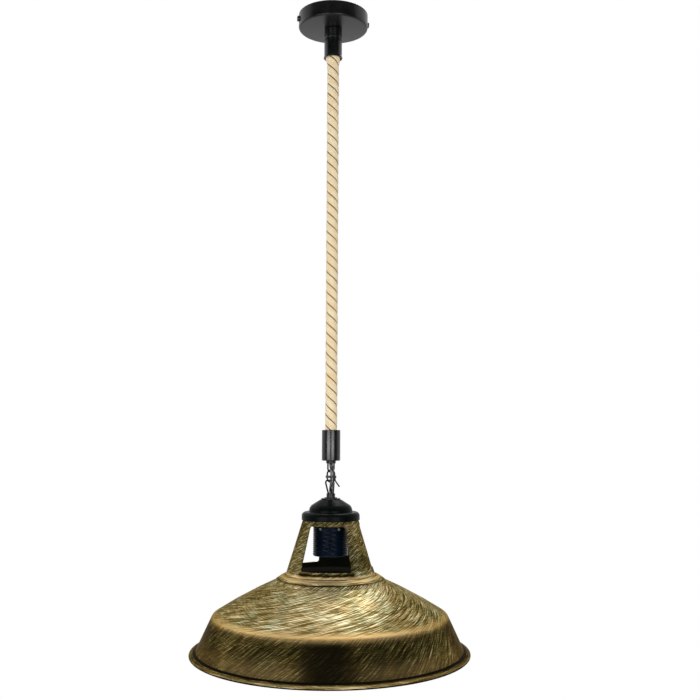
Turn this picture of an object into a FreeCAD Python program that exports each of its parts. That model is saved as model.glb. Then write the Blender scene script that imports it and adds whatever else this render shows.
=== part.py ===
import FreeCAD, Part
import math
import os
from FreeCAD import Vector

# Barn pendant light: ceiling rose, hemp rope between two ferrules, one chain link,
# black cap, threaded lampholder and a spun brass shade with three windows.
# Millimetres. Z is up, the lamp hangs on the Z axis and the ceiling is the plane z = 0.
# The bracket lies along X. What hangs below it is drawn with its room side towards -Y
# and then turned about Z by FACING.

# Shared
OVERRUN = 1.0            # how far a cut runs past a face
SEAT = 0.05              # air between two pieces that are fixed to each other
SLIDE = 0.2              # air between the bars of the chain
FRONT = -90.0            # degrees about Z of the room side, as drawn
FACING = -11.0           # degrees that the hanging pieces are turned about Z

# Ceiling rose
ROSE_RADIUS = 40.8
ROSE_HEIGHT = 17.2
ROSE_WALL = 1.2
ROSE_EDGE = 2.4

# Bracket strap
STRAP_WIDTH = 16.0
STRAP_THICKNESS = 1.5
STRAP_BEND = 2.5
TAB_DEPTH = 11.0
TAB_AIR = 0.5            # between the rose's wall and a tab's corner
SLOT_SPACING = 51.0
SLOT_WIDTH = 5.2
SLOT_LENGTH = 12.0

# Screws of the rose
SIDE_SCREW_RADIUS = 2.0
SIDE_HEAD_RADIUS = 3.4
SIDE_HEAD_HEIGHT = 2.4
SIDE_SCREW_DROP = 7.6    # below the ceiling
EARTH_SCREW_RADIUS = 2.0
EARTH_HEAD_RADIUS = 3.6
EARTH_HEAD_HEIGHT = 2.4
EARTH_WASHER_RADIUS = 4.4
EARTH_WASHER_THICKNESS = 0.6
EARTH_PLACE = -12.0      # along the strap

# Terminal block
BLOCK_LENGTH = 18.0
BLOCK_DEPTH = 14.0
BLOCK_HEIGHT = 9.6
BLOCK_FRONT = 11.5       # distance of its front face from the axis
POLE_SPACING = 8.4
BARREL_RADIUS = 2.2
BARREL_BORE = 1.4
BARREL_RISE = 4.4        # of the barrels above the block's foot
CLAMP_SCREW_RADIUS = 1.3
CLAMP_SPACING = 7.0

# Stem
STEM_RADIUS = 4.9
STEM_BORE = 3.0
STEM_RISE = 5.4          # above the floor of the rose
STEM_COUPLING_RADIUS = 10.35
STEM_COUPLING_HEIGHT = 12.4
STEM_EDGE = 0.5
NUT_FLATS = 14.0         # across the flats
NUT_HEIGHT = 3.0

# Ferrules and rope
UPPER_FERRULE_RADIUS = 10.5
UPPER_FERRULE_HEIGHT = 23.1
LOWER_FERRULE_RADIUS = 10.5
LOWER_FERRULE_HEIGHT = 34.7
FERRULE_WALL = 1.2
FERRULE_END = 4.0
FERRULE_LIP = 0.55       # that the mouth of the upper ferrule is flared
FERRULE_LIP_HEIGHT = 1.6
FERRULE_BEVEL = 0.7
GRUB_RADIUS = 1.5
ROPE_RADIUS = 7.0
ROPE_SHOWN = 436.7       # between the two mouths
ROPE_FLARE = 6.5         # length over which the rope opens below the upper mouth
ROPE_AIR = 0.15          # between the rope and a ferrule

# Flex
FLEX_RADIUS = 2.15
CORE_RADIUS = 0.8
CORE_SPACING = 1.9       # between the cores where the sheath ends
FLEX_FRONT = 5.9         # how far the flex stands in front of the chain
FLEX_ASIDE = 1.3         # and beside its middle
FLEX_ENTRY = 0.3         # off the axis where it enters a loop's stud
FLEX_BEND_LOW = 1.0      # below the upper stud where the flex turns outwards
FLEX_BEND_ABOVE = 2.2    # above the bottom of the loop where it turns down again
FLEX_BEND_BELOW = 1.4    # below the top of the cap loop where it turns inwards
FLEX_BEND_HIGH = 2.9     # above the cap loop's stud where it turns down again

# Loops and link, bent from round bar
BAR_RADIUS = 0.95
CHAIN_TURN = 38.0        # degrees about Z of the plane of the two loops
LINK_TURN = -18.0        # degrees about Z of the plane of the link
LOOP_COLLAR_RADIUS = 5.5
LOOP_COLLAR_HEIGHT = 3.2
LOOP_BORE = 3.05
LOOP_HALF_WIDTH = 4.4    # from the axis to the middle of a leg
LOOP_DEPTH = 9.6         # from the collar to the middle of the bar at the bottom
LINK_HALF_WIDTH = 4.3
LINK_PITCH = 13.5        # between the middles of its two end bars
CAP_LOOP_LEFT = 8.2      # from the axis to the middle of the corner that its bow leans to
CAP_LOOP_RIGHT = 4.6     # from the axis to the middle of the other corner
CAP_LOOP_FOOT = 3.45     # half width where the legs meet the collar
CAP_LOOP_HEIGHT = 14.5   # from the collar to the middle of the bar at the top
CAP_COLLAR_RADIUS = 4.9
CAP_COLLAR_HEIGHT = 4.6

# Cable tie
TIE_WIDTH = 2.4
TIE_THICKNESS = 0.9
TIE_HEAD = 2.8
TIE_HEAD_TURN = 20.0     # degrees that the head sits behind the flex's right side
TIE_RISE = 6.1           # above the middle of the bar at the bottom of the link
TIE_AIR = 0.1            # round the flex and the bar
TAIL_STRAIGHT = 3.6      # length of the tie's tail that hangs down beside the flex
TAIL_FALL = 10.6         # of its end below the band
TAIL_ASIDE = 5.0         # of its end from its start
TAIL_BEND = 4.0
TAIL_SLANT = 1.0         # that one edge of the tail lies further out than the other

# Washers and cap
SMALL_WASHER_RADIUS = 7.25
LARGE_WASHER_RADIUS = 10.85
WASHER_THICKNESS = 1.0
CAP_WALL = 1.2
CAP_TOP_RADIUS = 11.0    # of the flat on which the washers lie
CAP_DOME_RADIUS = 24.5
CAP_DOME_SLOPE = 8.4     # fall of the dome from the flat to its corner
CAP_DOME_HEIGHT = 14.0
CAP_FLANGE_AIR = 0.5     # between the flange and the top of the shade in it
CAP_FLANGE_HEIGHT = 8.8

# Lampholder
DOME_NUT_HEIGHT = 3.0
TAG_THICKNESS = 0.6
TAG_RADIUS = 6.6
HOLDER_DROP = 6.4        # from the underside of the cap's top to the holder
HOLDER_DOME_RADIUS = 20.6
HOLDER_WALL = 2.4
SHOULDER_RADIUS = 23.4
SHOULDER_HEIGHT = 3.2
SKIRT_RADIUS = 19.9      # over the crests of its thread
SKIRT_LENGTH = 40.6      # below the shoulder
SKIRT_BORE = 17.4
SKIRT_TOP_PLAIN = 4.4    # plain length below the shoulder
SKIRT_LIP = 2.0
THREAD_PITCH = 2.25
THREAD_DEPTH = 1.2
MOUTH_RADIUS = 14.4
PIN_RADIUS = 1.5
PIN_PROUD = 0.5
PIN_DROP = 10.2          # below the shoulder
PIN_SPREAD = 31.0        # degrees from the front
PIN_LENGTH = 5.0
INSULATOR_HEIGHT = 15.0
INSULATOR_DROP = 2.6     # of its top below the top of the skirt
SHELL_RADIUS = 13.9      # outside
SHELL_WALL = 0.35
SHELL_WAVE = 0.85        # depth of the lamp thread
SHELL_PITCH = 3.63
SHELL_TURNS = 5
CONTACT_WIDTH = 4.0
CONTACT_THICKNESS = 0.5
CONTACT_DROP = 4.2
RIVET_RADIUS = 1.1
RIVET_PLACE = 8.8
TERMINAL_SIZE = 4.4
TERMINAL_PLACE = 9.5
TERMINAL_SCREW_RADIUS = 1.3

# Shade
SHADE_WALL = 0.9
SHADE_HOLE_AIR = 0.4     # round the skirt of the holder
SHADE_TOP_RADIUS = 31.1
SHADE_TOP_EDGE = 1.6
CAP_COVERS = 0.9         # that the cap reaches below the top of the shade
NECK_RADIUS = 49.8       # at its foot
NECK_HEIGHT = 60.2
COLLAR_RADIUS = 63.0
COLLAR_HEIGHT = 8.6
KNEE_RADIUS = 131.0
KNEE_FALL = 36.0         # from the collar's foot
KNEE_ROUNDING = 6.0
SHOULDER_ROUNDING = 285.0
SKIRT_SPREAD = 17.2      # that the shade's skirt widens from the knee to its foot
SKIRT_FALL = 36.9        # of the shade's skirt from the knee
RIM_SPREAD = 5.9         # from the skirt's foot to the middle of the rolled rim
RIM_ROLL = 1.5
RIM_FALL = 3.8           # from the skirt's foot to the middle of the roll
STEP_RISE = 0.45         # of the fine steps on the collar

# Windows of the neck
WINDOW_COUNT = 3
WINDOW_HALF_ANGLE = 36.0
WINDOW_TURN = -7.0       # degrees of the front one from the front
WINDOW_TOP = 6.1         # below the top of the shade
WINDOW_HEIGHT = 47.6
WINDOW_CORNER = 2.0

# Shade ring
SHADE_RING_RADIUS = 25.4
SHADE_RING_HEIGHT = 3.8
SHADE_RING_NOTCHES = 12
SHADE_RING_NOTCH = 1.5

# Radii that follow from others
CAP_FLANGE_RADIUS = SHADE_TOP_RADIUS + CAP_FLANGE_AIR + CAP_WALL
SKIRT_FOOT_RADIUS = KNEE_RADIUS + SKIRT_SPREAD
RIM_RADIUS = SKIRT_FOOT_RADIUS + RIM_SPREAD

# Levels, from the ceiling down
ROSE_FLOOR = -ROSE_HEIGHT
STEM_FOOT = ROSE_FLOOR - STEM_COUPLING_HEIGHT
UPPER_MOUTH = STEM_FOOT - UPPER_FERRULE_HEIGHT
LOWER_MOUTH = UPPER_MOUTH - ROPE_SHOWN
LOWER_FOOT = LOWER_MOUTH - LOWER_FERRULE_HEIGHT
LOOP_FOOT = LOWER_FOOT - LOOP_COLLAR_HEIGHT
LOOP_BAR = LOOP_FOOT - LOOP_DEPTH
LINK_TOP_BAR = LOOP_BAR + 2 * BAR_RADIUS + SLIDE
LINK_LOW_BAR = LINK_TOP_BAR - LINK_PITCH
CAP_LOOP_BAR = LINK_LOW_BAR + 2 * BAR_RADIUS + SLIDE
CAP_COLLAR_TOP = CAP_LOOP_BAR - CAP_LOOP_HEIGHT
WASHER_TOP = CAP_COLLAR_TOP - CAP_COLLAR_HEIGHT
CAP_TOP = WASHER_TOP - 2 * WASHER_THICKNESS
CAP_UNDER = CAP_TOP - CAP_WALL
CAP_FOOT = CAP_TOP - CAP_DOME_HEIGHT - CAP_FLANGE_HEIGHT
SHADE_TOP = CAP_FOOT + CAP_COVERS
HOLDER_TOP = CAP_UNDER - HOLDER_DROP
SKIRT_TOP = SHADE_TOP + SHOULDER_HEIGHT
SKIRT_FOOT = SHADE_TOP - SKIRT_LENGTH
INSULATOR_TOP = SKIRT_TOP - INSULATOR_DROP
INSULATOR_FOOT = INSULATOR_TOP - INSULATOR_HEIGHT
ROPE_TOP = STEM_FOOT - FERRULE_END - NUT_HEIGHT - ROPE_AIR
ROPE_FOOT = LOWER_FOOT + FERRULE_END + NUT_HEIGHT + ROPE_AIR
HOLDER_NUT_FOOT = HOLDER_TOP - HOLDER_WALL - TAG_THICKNESS - DOME_NUT_HEIGHT
FERRULE_BORE = UPPER_FERRULE_RADIUS - FERRULE_WALL
LOWER_FERRULE_BORE = LOWER_FERRULE_RADIUS - FERRULE_WALL


# Solids about the axis

def rod(radius, low, high):
    """A cylinder on the axis between two levels."""
    return Part.makeCylinder(radius, high - low, Vector(0, 0, low))


def ring(outer, inner, low, high):
    """A flat ring or a tube on the axis between two levels."""
    return rod(outer, low, high).cut(rod(inner, low - OVERRUN, high + OVERRUN))


def bar(radius, start, end):
    """A straight round bar between two points."""
    along = end - start
    return Part.makeCylinder(radius, along.Length, start, along)


def box(centre_x, centre_y, low, size_x, size_y, size_z):
    """A box that stands on a level, centred in the other two directions."""
    corner = Vector(centre_x - size_x / 2, centre_y - size_y / 2, low)
    return Part.makeBox(size_x, size_y, size_z, corner)


def turned(shape, degrees):
    """A copy turned about the lamp's axis."""
    copy = shape.copy()
    copy.rotate(Vector(0, 0, 0), Vector(0, 0, 1), degrees)
    return copy


def around(degrees, radius, level):
    """The point at an angle about the axis."""
    angle = math.radians(degrees)
    return Vector(radius * math.cos(angle), radius * math.sin(angle), level)


def softened(shape, radius, low, high):
    """Rounds the level circular edges that lie between two levels."""
    edges = [edge for edge in shape.Edges
             if low <= edge.BoundBox.ZMin and edge.BoundBox.ZMax <= high
             and edge.BoundBox.ZLength < OVERRUN / 100 and edge.Closed]
    return shape.makeFillet(radius, edges)


# Outlines with rounded corners

def rounded(corners):
    """Edges along a list of (point, corner radius), with an arc at each inner corner."""
    edges = []
    here = corners[0][0]
    for (before, _), (corner, radius), (after, _) in zip(corners, corners[1:], corners[2:]):
        incoming = (corner - before).normalize()
        outgoing = (after - corner).normalize()
        half_turn = incoming.getAngle(outgoing) / 2
        if radius <= 0 or half_turn <= 0:
            edges.append(Part.makeLine(here, corner))
            here = corner
            continue
        tangent = radius * math.tan(half_turn)
        start = corner - incoming * tangent
        end = corner + outgoing * tangent
        inward = (outgoing - incoming).normalize()
        middle = corner + inward * (radius / math.cos(half_turn) - radius)
        if here.distanceToPoint(start) > SEAT / 100:
            edges.append(Part.makeLine(here, start))
        edges.append(Part.Arc(start, middle, end).toShape())
        here = end
    if here.distanceToPoint(corners[-1][0]) > SEAT / 100:
        edges.append(Part.makeLine(here, corners[-1][0]))
    return edges


def shifted(corners, distance):
    """The same (r, z, corner radius) outline moved sideways, to its right hand."""
    moved = []
    last = len(corners) - 1
    for place, (r, z, radius) in enumerate(corners):
        here = Vector(r, 0, z)
        ways = []
        if place > 0:
            ways.append((here - Vector(corners[place - 1][0], 0, corners[place - 1][1])).normalize())
        if place < last:
            ways.append((Vector(corners[place + 1][0], 0, corners[place + 1][1]) - here).normalize())
        rights = [Vector(way.z, 0, -way.x) for way in ways]
        offset = rights[0] + rights[-1]
        offset = offset * (2 * distance / offset.dot(offset))
        turn = ways[0].z * ways[-1].x - ways[0].x * ways[-1].z
        new_radius = radius - distance if turn > 0 else radius + distance
        moved.append((r + offset.x, z + offset.z, max(new_radius, 0.0) if radius > 0 else 0.0))
    return moved


def outline(corners):
    """The edges of an (r, z, corner radius) list."""
    return rounded([(Vector(r, 0, z), radius) for r, z, radius in corners])


def sheet_face(corners, wall):
    """The section of a bent sheet: the outline, its copy one wall to the right, two end caps."""
    inner = shifted(corners, wall)
    edges = outline(corners) + outline(inner)
    for place in (0, -1):
        edges.append(Part.makeLine(Vector(corners[place][0], 0, corners[place][1]),
                                   Vector(inner[place][0], 0, inner[place][1])))
    return Part.Face(Part.Wire(Part.__sortEdges__(edges)))


def spun_sheet(corners, wall):
    """A sheet spun about the axis from its outline."""
    return sheet_face(corners, wall).revolve(Vector(0, 0, 0), Vector(0, 0, 1), 360)


def spun(points):
    """A solid of revolution from a closed list of (r, z) points."""
    corners = [Vector(r, 0, z) for r, z in points]
    face = Part.Face(Part.makePolygon(corners + corners[:1]))
    return face.revolve(Vector(0, 0, 0), Vector(0, 0, 1), 360)


def bar_along(corners, radius):
    """A round bar swept along straight runs joined by tangent arcs."""
    path = Part.Wire(rounded(corners))
    start = corners[0][0]
    along = corners[1][0] - start
    section = Part.Wire(Part.makeCircle(radius, start, along))
    return path.makePipeShell([section], True, False)


def cable_along(points, radius):
    """A cable along its route, each arc as large as its two runs allow; its least radius is printed."""
    runs = [a.distanceToPoint(b) for a, b in zip(points, points[1:])]
    corners = [(points[0], 0.0)]
    for place in range(1, len(points) - 1):
        into = points[place] - points[place - 1]
        out = points[place + 1] - points[place]
        half_turn = into.getAngle(out) / 2
        arc_share = 0.45
        bend = arc_share * min(runs[place - 1], runs[place]) / math.tan(half_turn)
        corners.append((points[place], bend))
    corners.append((points[-1], 0.0))
    print("cable radius", round(radius, 2), "bends", [round(c[1], 1) for c in corners[1:-1]])
    return bar_along(corners, radius)


# Fasteners

def nut(low, high):
    """A hexagon nut on the stem thread."""
    corner = NUT_FLATS / 2 / math.cos(math.radians(30))
    points = [around(60 * side, corner, low) for side in range(7)]
    prism = Part.Face(Part.makePolygon(points)).extrude(Vector(0, 0, high - low))
    return prism.cut(rod(STEM_RADIUS + SEAT, low - OVERRUN, high + OVERRUN))


def slotted_screw(seat, outward, head_radius, head_height, shank_radius, shank_length):
    """A screw with a domed, slotted head; seat is the middle of the head's underside."""
    way = Vector(outward).normalize()
    head = Part.makeCylinder(head_radius, head_height)
    edge = [e for e in head.Edges if e.Closed and e.BoundBox.ZMin > head_height / 2]
    head = head.makeFillet(head_height / 3, edge)
    slot = box(0, 0, head_height * 2 / 3, head_radius / 4, 3 * head_radius, head_height)
    shank = Part.makeCylinder(shank_radius, shank_length + head_height / 4, Vector(0, 0, -shank_length))
    screw = head.cut(slot).fuse(shank).removeSplitter()
    screw.Placement = FreeCAD.Placement(seat, FreeCAD.Rotation(Vector(0, 0, 1), way))
    return screw


def grub_screw(seat, outward, radius, length):
    """A headless screw with a slot in its outer end; seat is the middle of that end."""
    way = Vector(outward).normalize()
    body = Part.makeCylinder(radius, length, Vector(0, 0, -length))
    body = body.cut(box(0, 0, -radius / 2, radius / 3, 3 * radius, radius))
    body.Placement = FreeCAD.Placement(seat, FreeCAD.Rotation(Vector(0, 0, 1), way))
    return body


# Ceiling end

def tab_face():
    """Distance of a tab's outer face from the axis, so that its corners clear the rose."""
    reach = ROSE_RADIUS - ROSE_WALL - TAB_AIR
    return math.sqrt(reach ** 2 - (STRAP_WIDTH / 2) ** 2)


def ceiling_bracket():
    reach = tab_face()
    corners = [(-reach, -TAB_DEPTH, 0.0), (-reach, 0.0, STRAP_BEND),
               (reach, 0.0, STRAP_BEND), (reach, -TAB_DEPTH, 0.0)]
    strap = sheet_face(corners, STRAP_THICKNESS).extrude(Vector(0, STRAP_WIDTH, 0))
    strap.translate(Vector(0, -STRAP_WIDTH / 2, 0))
    straight = (SLOT_LENGTH - SLOT_WIDTH) / 2
    for side in (-1, 1):
        for end in (-straight, straight):
            strap = strap.cut(round_hole(side * SLOT_SPACING / 2 + end, SLOT_WIDTH / 2))
        strap = strap.cut(box(side * SLOT_SPACING / 2, 0, -STRAP_THICKNESS - OVERRUN,
                              2 * straight, SLOT_WIDTH, STRAP_THICKNESS + 2 * OVERRUN))
    strap = strap.cut(round_hole(EARTH_PLACE, EARTH_SCREW_RADIUS + SEAT))
    level = Vector(-reach - OVERRUN, 0, -SIDE_SCREW_DROP)
    strap = strap.cut(bar(SIDE_SCREW_RADIUS + SEAT, level, Vector(-level.x, 0, level.z)))
    return strap


def round_hole(x, radius):
    """A drill through the strap."""
    return Part.makeCylinder(radius, STRAP_THICKNESS + 2 * OVERRUN, Vector(x, 0, -STRAP_THICKNESS - OVERRUN))


def rose_cup():
    corners = [(STEM_RADIUS + SEAT, ROSE_FLOOR, 0.0), (ROSE_RADIUS, ROSE_FLOOR, ROSE_EDGE),
               (ROSE_RADIUS, 0.0, 0.0)]
    cup = spun_sheet(corners, -ROSE_WALL)
    through = Vector(ROSE_RADIUS + OVERRUN, 0, 0)
    hole = bar(SIDE_SCREW_RADIUS + SEAT, -through, through)
    hole.translate(Vector(0, 0, -SIDE_SCREW_DROP))
    return cup.cut(hole)


def rose_side_screws():
    length = ROSE_RADIUS - tab_face() + 2 * STRAP_THICKNESS
    screws = []
    for turn in (0, 180):
        seat = around(turn, ROSE_RADIUS, -SIDE_SCREW_DROP)
        screws.append(slotted_screw(seat, around(turn, 1, 0), SIDE_HEAD_RADIUS, SIDE_HEAD_HEIGHT,
                                    SIDE_SCREW_RADIUS, length))
    return Part.makeCompound(screws)


def earth_place(level):
    return Vector(EARTH_PLACE, 0, level)


def earth_washer():
    washer = ring(EARTH_WASHER_RADIUS, EARTH_SCREW_RADIUS + SEAT,
                  -STRAP_THICKNESS - EARTH_WASHER_THICKNESS, -STRAP_THICKNESS)
    washer.translate(earth_place(0))
    return washer


def earth_screw():
    seat = earth_place(-STRAP_THICKNESS - EARTH_WASHER_THICKNESS)
    length = STRAP_THICKNESS + EARTH_WASHER_THICKNESS - SEAT
    return slotted_screw(seat, Vector(0, 0, -1), EARTH_HEAD_RADIUS, EARTH_HEAD_HEIGHT,
                         EARTH_SCREW_RADIUS, length)


def block_foot():
    return ROSE_FLOOR + ROSE_WALL


def block_middle():
    return BLOCK_FRONT + BLOCK_DEPTH / 2


def pole_places():
    return [-POLE_SPACING / 2, POLE_SPACING / 2]


def barrel_holes(radius):
    """The two level holes of the terminal block, as solids."""
    level = block_foot() + BARREL_RISE
    return [bar(radius, Vector(x, BLOCK_FRONT - OVERRUN, level),
                Vector(x, BLOCK_FRONT + BLOCK_DEPTH + OVERRUN, level)) for x in pole_places()]


def clamp_holes(radius, low, high):
    """The four upright holes of the clamping screws, as solids."""
    return [Part.makeCylinder(radius, high - low, Vector(x, block_middle() + y, low))
            for x in pole_places() for y in (-CLAMP_SPACING / 2, CLAMP_SPACING / 2)]


def terminal_block():
    block = box(0, block_middle(), block_foot(), BLOCK_LENGTH, BLOCK_DEPTH, BLOCK_HEIGHT)
    waist = box(0, block_middle(), block_foot() - OVERRUN, (POLE_SPACING - 2 * BARREL_RADIUS) / 4,
                BLOCK_DEPTH / 3, BLOCK_HEIGHT + 2 * OVERRUN)
    block = block.cut(waist)
    for hole in barrel_holes(BARREL_RADIUS + SEAT):
        block = block.cut(hole)
    top = block_foot() + BLOCK_HEIGHT + OVERRUN
    for hole in clamp_holes(CLAMP_SCREW_RADIUS + 2 * SEAT, block_foot() + BARREL_RISE, top):
        block = block.cut(hole)
    return block


def terminal_barrels():
    level = block_foot() + BARREL_RISE
    inset = BLOCK_DEPTH / 14
    barrels = []
    for x in pole_places():
        start = Vector(x, BLOCK_FRONT + inset, level)
        end = Vector(x, BLOCK_FRONT + BLOCK_DEPTH - inset, level)
        past = Vector(0, OVERRUN, 0)
        barrel = bar(BARREL_RADIUS, start, end).cut(bar(BARREL_BORE, start - past, end + past))
        for hole in clamp_holes(CLAMP_SCREW_RADIUS + SEAT, level, level + 2 * BARREL_RADIUS):
            barrel = barrel.cut(hole)
        barrels.append(barrel)
    return Part.makeCompound(barrels)


def clamp_screws():
    """Slotted screws that reach down on the cores inside the barrels."""
    level = block_foot() + BARREL_RISE
    top = block_foot() + BLOCK_HEIGHT - CLAMP_SCREW_RADIUS
    tip = level + CORE_RADIUS + SEAT
    screws = []
    for x in pole_places():
        for y in (-CLAMP_SPACING / 2, CLAMP_SPACING / 2):
            seat = Vector(x, block_middle() + y, top)
            screws.append(grub_screw(seat, Vector(0, 0, 1), CLAMP_SCREW_RADIUS, top - tip))
    return Part.makeCompound(screws)


def stem_top():
    return ROSE_FLOOR + ROSE_WALL + STEM_RISE


def stem_tube():
    low = STEM_FOOT - FERRULE_END - NUT_HEIGHT
    return ring(STEM_RADIUS, STEM_BORE, low, stem_top())


def rose_nut():
    low = ROSE_FLOOR + ROSE_WALL
    return nut(low, low + NUT_HEIGHT)


def stem_coupling():
    body = rod(STEM_COUPLING_RADIUS, STEM_FOOT, ROSE_FLOOR)
    body = softened(body, STEM_EDGE, STEM_FOOT - SEAT, ROSE_FLOOR + SEAT)
    return body.cut(rod(STEM_RADIUS + SEAT, STEM_FOOT - OVERRUN, ROSE_FLOOR + OVERRUN))


def upper_ferrule():
    radius = UPPER_FERRULE_RADIUS
    lip = radius + FERRULE_LIP
    lip_top = UPPER_MOUTH + FERRULE_LIP_HEIGHT
    inside = STEM_FOOT - FERRULE_END
    body = spun([(0, STEM_FOOT), (radius - FERRULE_BEVEL, STEM_FOOT), (radius, STEM_FOOT - FERRULE_BEVEL),
                 (radius, lip_top + FERRULE_LIP), (lip, lip_top), (lip, UPPER_MOUTH), (0, UPPER_MOUTH)])
    body = body.cut(rod(FERRULE_BORE, UPPER_MOUTH - OVERRUN, inside))
    body = body.cut(rod(STEM_RADIUS + SEAT, inside - OVERRUN, STEM_FOOT + OVERRUN))
    return body.cut(grub_hole(upper_grub_seat()))


def upper_nut():
    high = STEM_FOOT - FERRULE_END
    return nut(high - NUT_HEIGHT, high)


def upper_grub_seat():
    """At the back of the upper ferrule, half way down the rope in it."""
    return Vector(0, UPPER_FERRULE_RADIUS, (UPPER_MOUTH + ROPE_TOP) / 2)


def lower_grub_seat():
    """At the back of the lower ferrule, half way down the rope in it."""
    return Vector(0, LOWER_FERRULE_RADIUS, (LOWER_MOUTH + ROPE_FOOT) / 2)


def grub_hole(seat):
    return bar(GRUB_RADIUS + SEAT, Vector(0, seat.y / 2, seat.z), seat + Vector(0, OVERRUN, 0))


def grub(seat):
    """A grub screw whose tip stops at the rope."""
    return grub_screw(seat, Vector(0, 1, 0), GRUB_RADIUS, FERRULE_WALL - ROPE_AIR)


# Rope and flex

def hemp_rope():
    """The rope, opened to the bore of the upper ferrule, with the flex's channel in its middle."""
    wide = FERRULE_BORE - ROPE_AIR
    low_wide = LOWER_FERRULE_BORE - ROPE_AIR
    channel = FLEX_RADIUS + SEAT
    inner_flare = ROPE_FLARE / 3
    return spun([(channel, ROPE_TOP), (wide, ROPE_TOP), (wide, UPPER_MOUTH),
                 (ROPE_RADIUS, UPPER_MOUTH - ROPE_FLARE), (ROPE_RADIUS, LOWER_MOUTH),
                 (low_wide, LOWER_MOUTH - inner_flare), (low_wide, ROPE_FOOT), (channel, ROPE_FOOT)])


def rose_flex():
    """The flex's sheath from the top of the stem to the rope."""
    return rod(FLEX_RADIUS, ROPE_TOP + SEAT, stem_top() - STEM_BORE / 3)


def rope_flex():
    """The flex inside the rope and on through the nut of the lower ferrule."""
    return rod(FLEX_RADIUS, ROPE_FOOT, ROPE_TOP)


def core_start(place):
    """Where core 0, 1 or 2 leaves the sheath at the top."""
    return Vector((place - 1) * CORE_SPACING, 0, stem_top() - STEM_BORE / 3 + SEAT)


def rose_cores():
    """Live and neutral cores, from the sheath to the terminal block."""
    cores = []
    level = block_foot() + BARREL_RISE
    over = stem_top() + 3 * CORE_RADIUS + STEM_BORE / 3
    for place, x in zip((1, 2), pole_places()):
        start = core_start(place)
        points = [start, Vector(start.x, 0, over), Vector(x, BLOCK_FRONT / 2, over),
                  Vector(x, BLOCK_FRONT * 5 / 6, level), Vector(x, BLOCK_FRONT + BLOCK_DEPTH * 4 / 5, level)]
        cores.append(cable_along(points, CORE_RADIUS))
    return Part.makeCompound(cores)


def earth_core():
    """The earth core, from the sheath to the cup washer under the strap."""
    start = core_start(0)
    over = stem_top() + 3 * CORE_RADIUS + STEM_BORE / 3
    screw = earth_place(-STRAP_THICKNESS - EARTH_WASHER_THICKNESS - CORE_RADIUS - SEAT)
    way = Vector(screw.x, screw.y, 0).normalize()
    end = screw - way * (EARTH_HEAD_RADIUS + CORE_RADIUS)
    points = [start, Vector(start.x, 0, over), end - way * CORE_RADIUS * 2, end]
    return cable_along(points, CORE_RADIUS)


def lower_ferrule():
    radius = LOWER_FERRULE_RADIUS
    inside = LOWER_FOOT + FERRULE_END
    body = spun([(0, LOWER_MOUTH), (radius - FERRULE_BEVEL / 2, LOWER_MOUTH),
                 (radius, LOWER_MOUTH - FERRULE_BEVEL / 2), (radius, LOWER_FOOT + FERRULE_BEVEL),
                 (radius - FERRULE_BEVEL, LOWER_FOOT), (0, LOWER_FOOT)])
    body = body.cut(rod(LOWER_FERRULE_BORE, inside, LOWER_MOUTH + OVERRUN))
    body = body.cut(rod(STEM_RADIUS + SEAT, LOWER_FOOT - OVERRUN, inside + OVERRUN))
    return body.cut(grub_hole(lower_grub_seat()))


def lower_nut():
    low = LOWER_FOOT + FERRULE_END
    return nut(low, low + NUT_HEIGHT)


def chain_plane(shape):
    """Turns a piece drawn in the X-Z plane into the plane of the two loops."""
    return turned(shape, CHAIN_TURN)


def lower_loop():
    """A U of round bar on a hollow stud that is nutted into the lower ferrule."""
    half = LOOP_HALF_WIDTH
    corners = [(Vector(-half, 0, LOOP_FOOT), 0.0), (Vector(-half, 0, LOOP_BAR), half),
               (Vector(half, 0, LOOP_BAR), half), (Vector(half, 0, LOOP_FOOT), 0.0)]
    collar = rod(LOOP_COLLAR_RADIUS, LOOP_FOOT, LOWER_FOOT)
    stud = rod(STEM_RADIUS, LOWER_FOOT, LOWER_FOOT + FERRULE_END + NUT_HEIGHT)
    bore = rod(LOOP_BORE, LOOP_FOOT - OVERRUN, LOWER_FOOT + FERRULE_END + NUT_HEIGHT + OVERRUN)
    loop = collar.fuse(stud).fuse(bar_along(corners, BAR_RADIUS)).removeSplitter().cut(bore)
    return chain_plane(loop)


def chain_link():
    """A closed oval link, well turned out of the plane of the loops."""
    half = LINK_HALF_WIDTH
    middle = (LINK_TOP_BAR + LINK_LOW_BAR) / 2
    halves = []
    for end in (LINK_TOP_BAR, LINK_LOW_BAR):
        corners = [(Vector(-half, 0, middle), 0.0), (Vector(-half, 0, end), half),
                   (Vector(half, 0, end), half), (Vector(half, 0, middle), 0.0)]
        halves.append(bar_along(corners, BAR_RADIUS))
    return turned(halves[0].fuse(halves[1]).removeSplitter(), LINK_TURN)


def flex_place(level):
    """The middle of the flex where it stands straight beside the link."""
    return Vector(FLEX_ASIDE, -FLEX_FRONT, level)


def flex_points():
    """The flex's route past the chain, from the lower ferrule to the holder."""
    entry = Vector(-FLEX_ENTRY, -FLEX_ENTRY, 0)
    return [Vector(0, 0, ROPE_FOOT - SLIDE),
            entry + Vector(0, 0, LOOP_FOOT - FLEX_BEND_LOW),
            flex_place(LOOP_BAR + FLEX_BEND_ABOVE),
            flex_place(CAP_LOOP_BAR - FLEX_BEND_BELOW),
            entry + Vector(0, 0, CAP_COLLAR_TOP + FLEX_BEND_HIGH),
            Vector(0, 0, HOLDER_NUT_FOOT)]


def flex_drop():
    return cable_along(flex_points(), FLEX_RADIUS)


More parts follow.
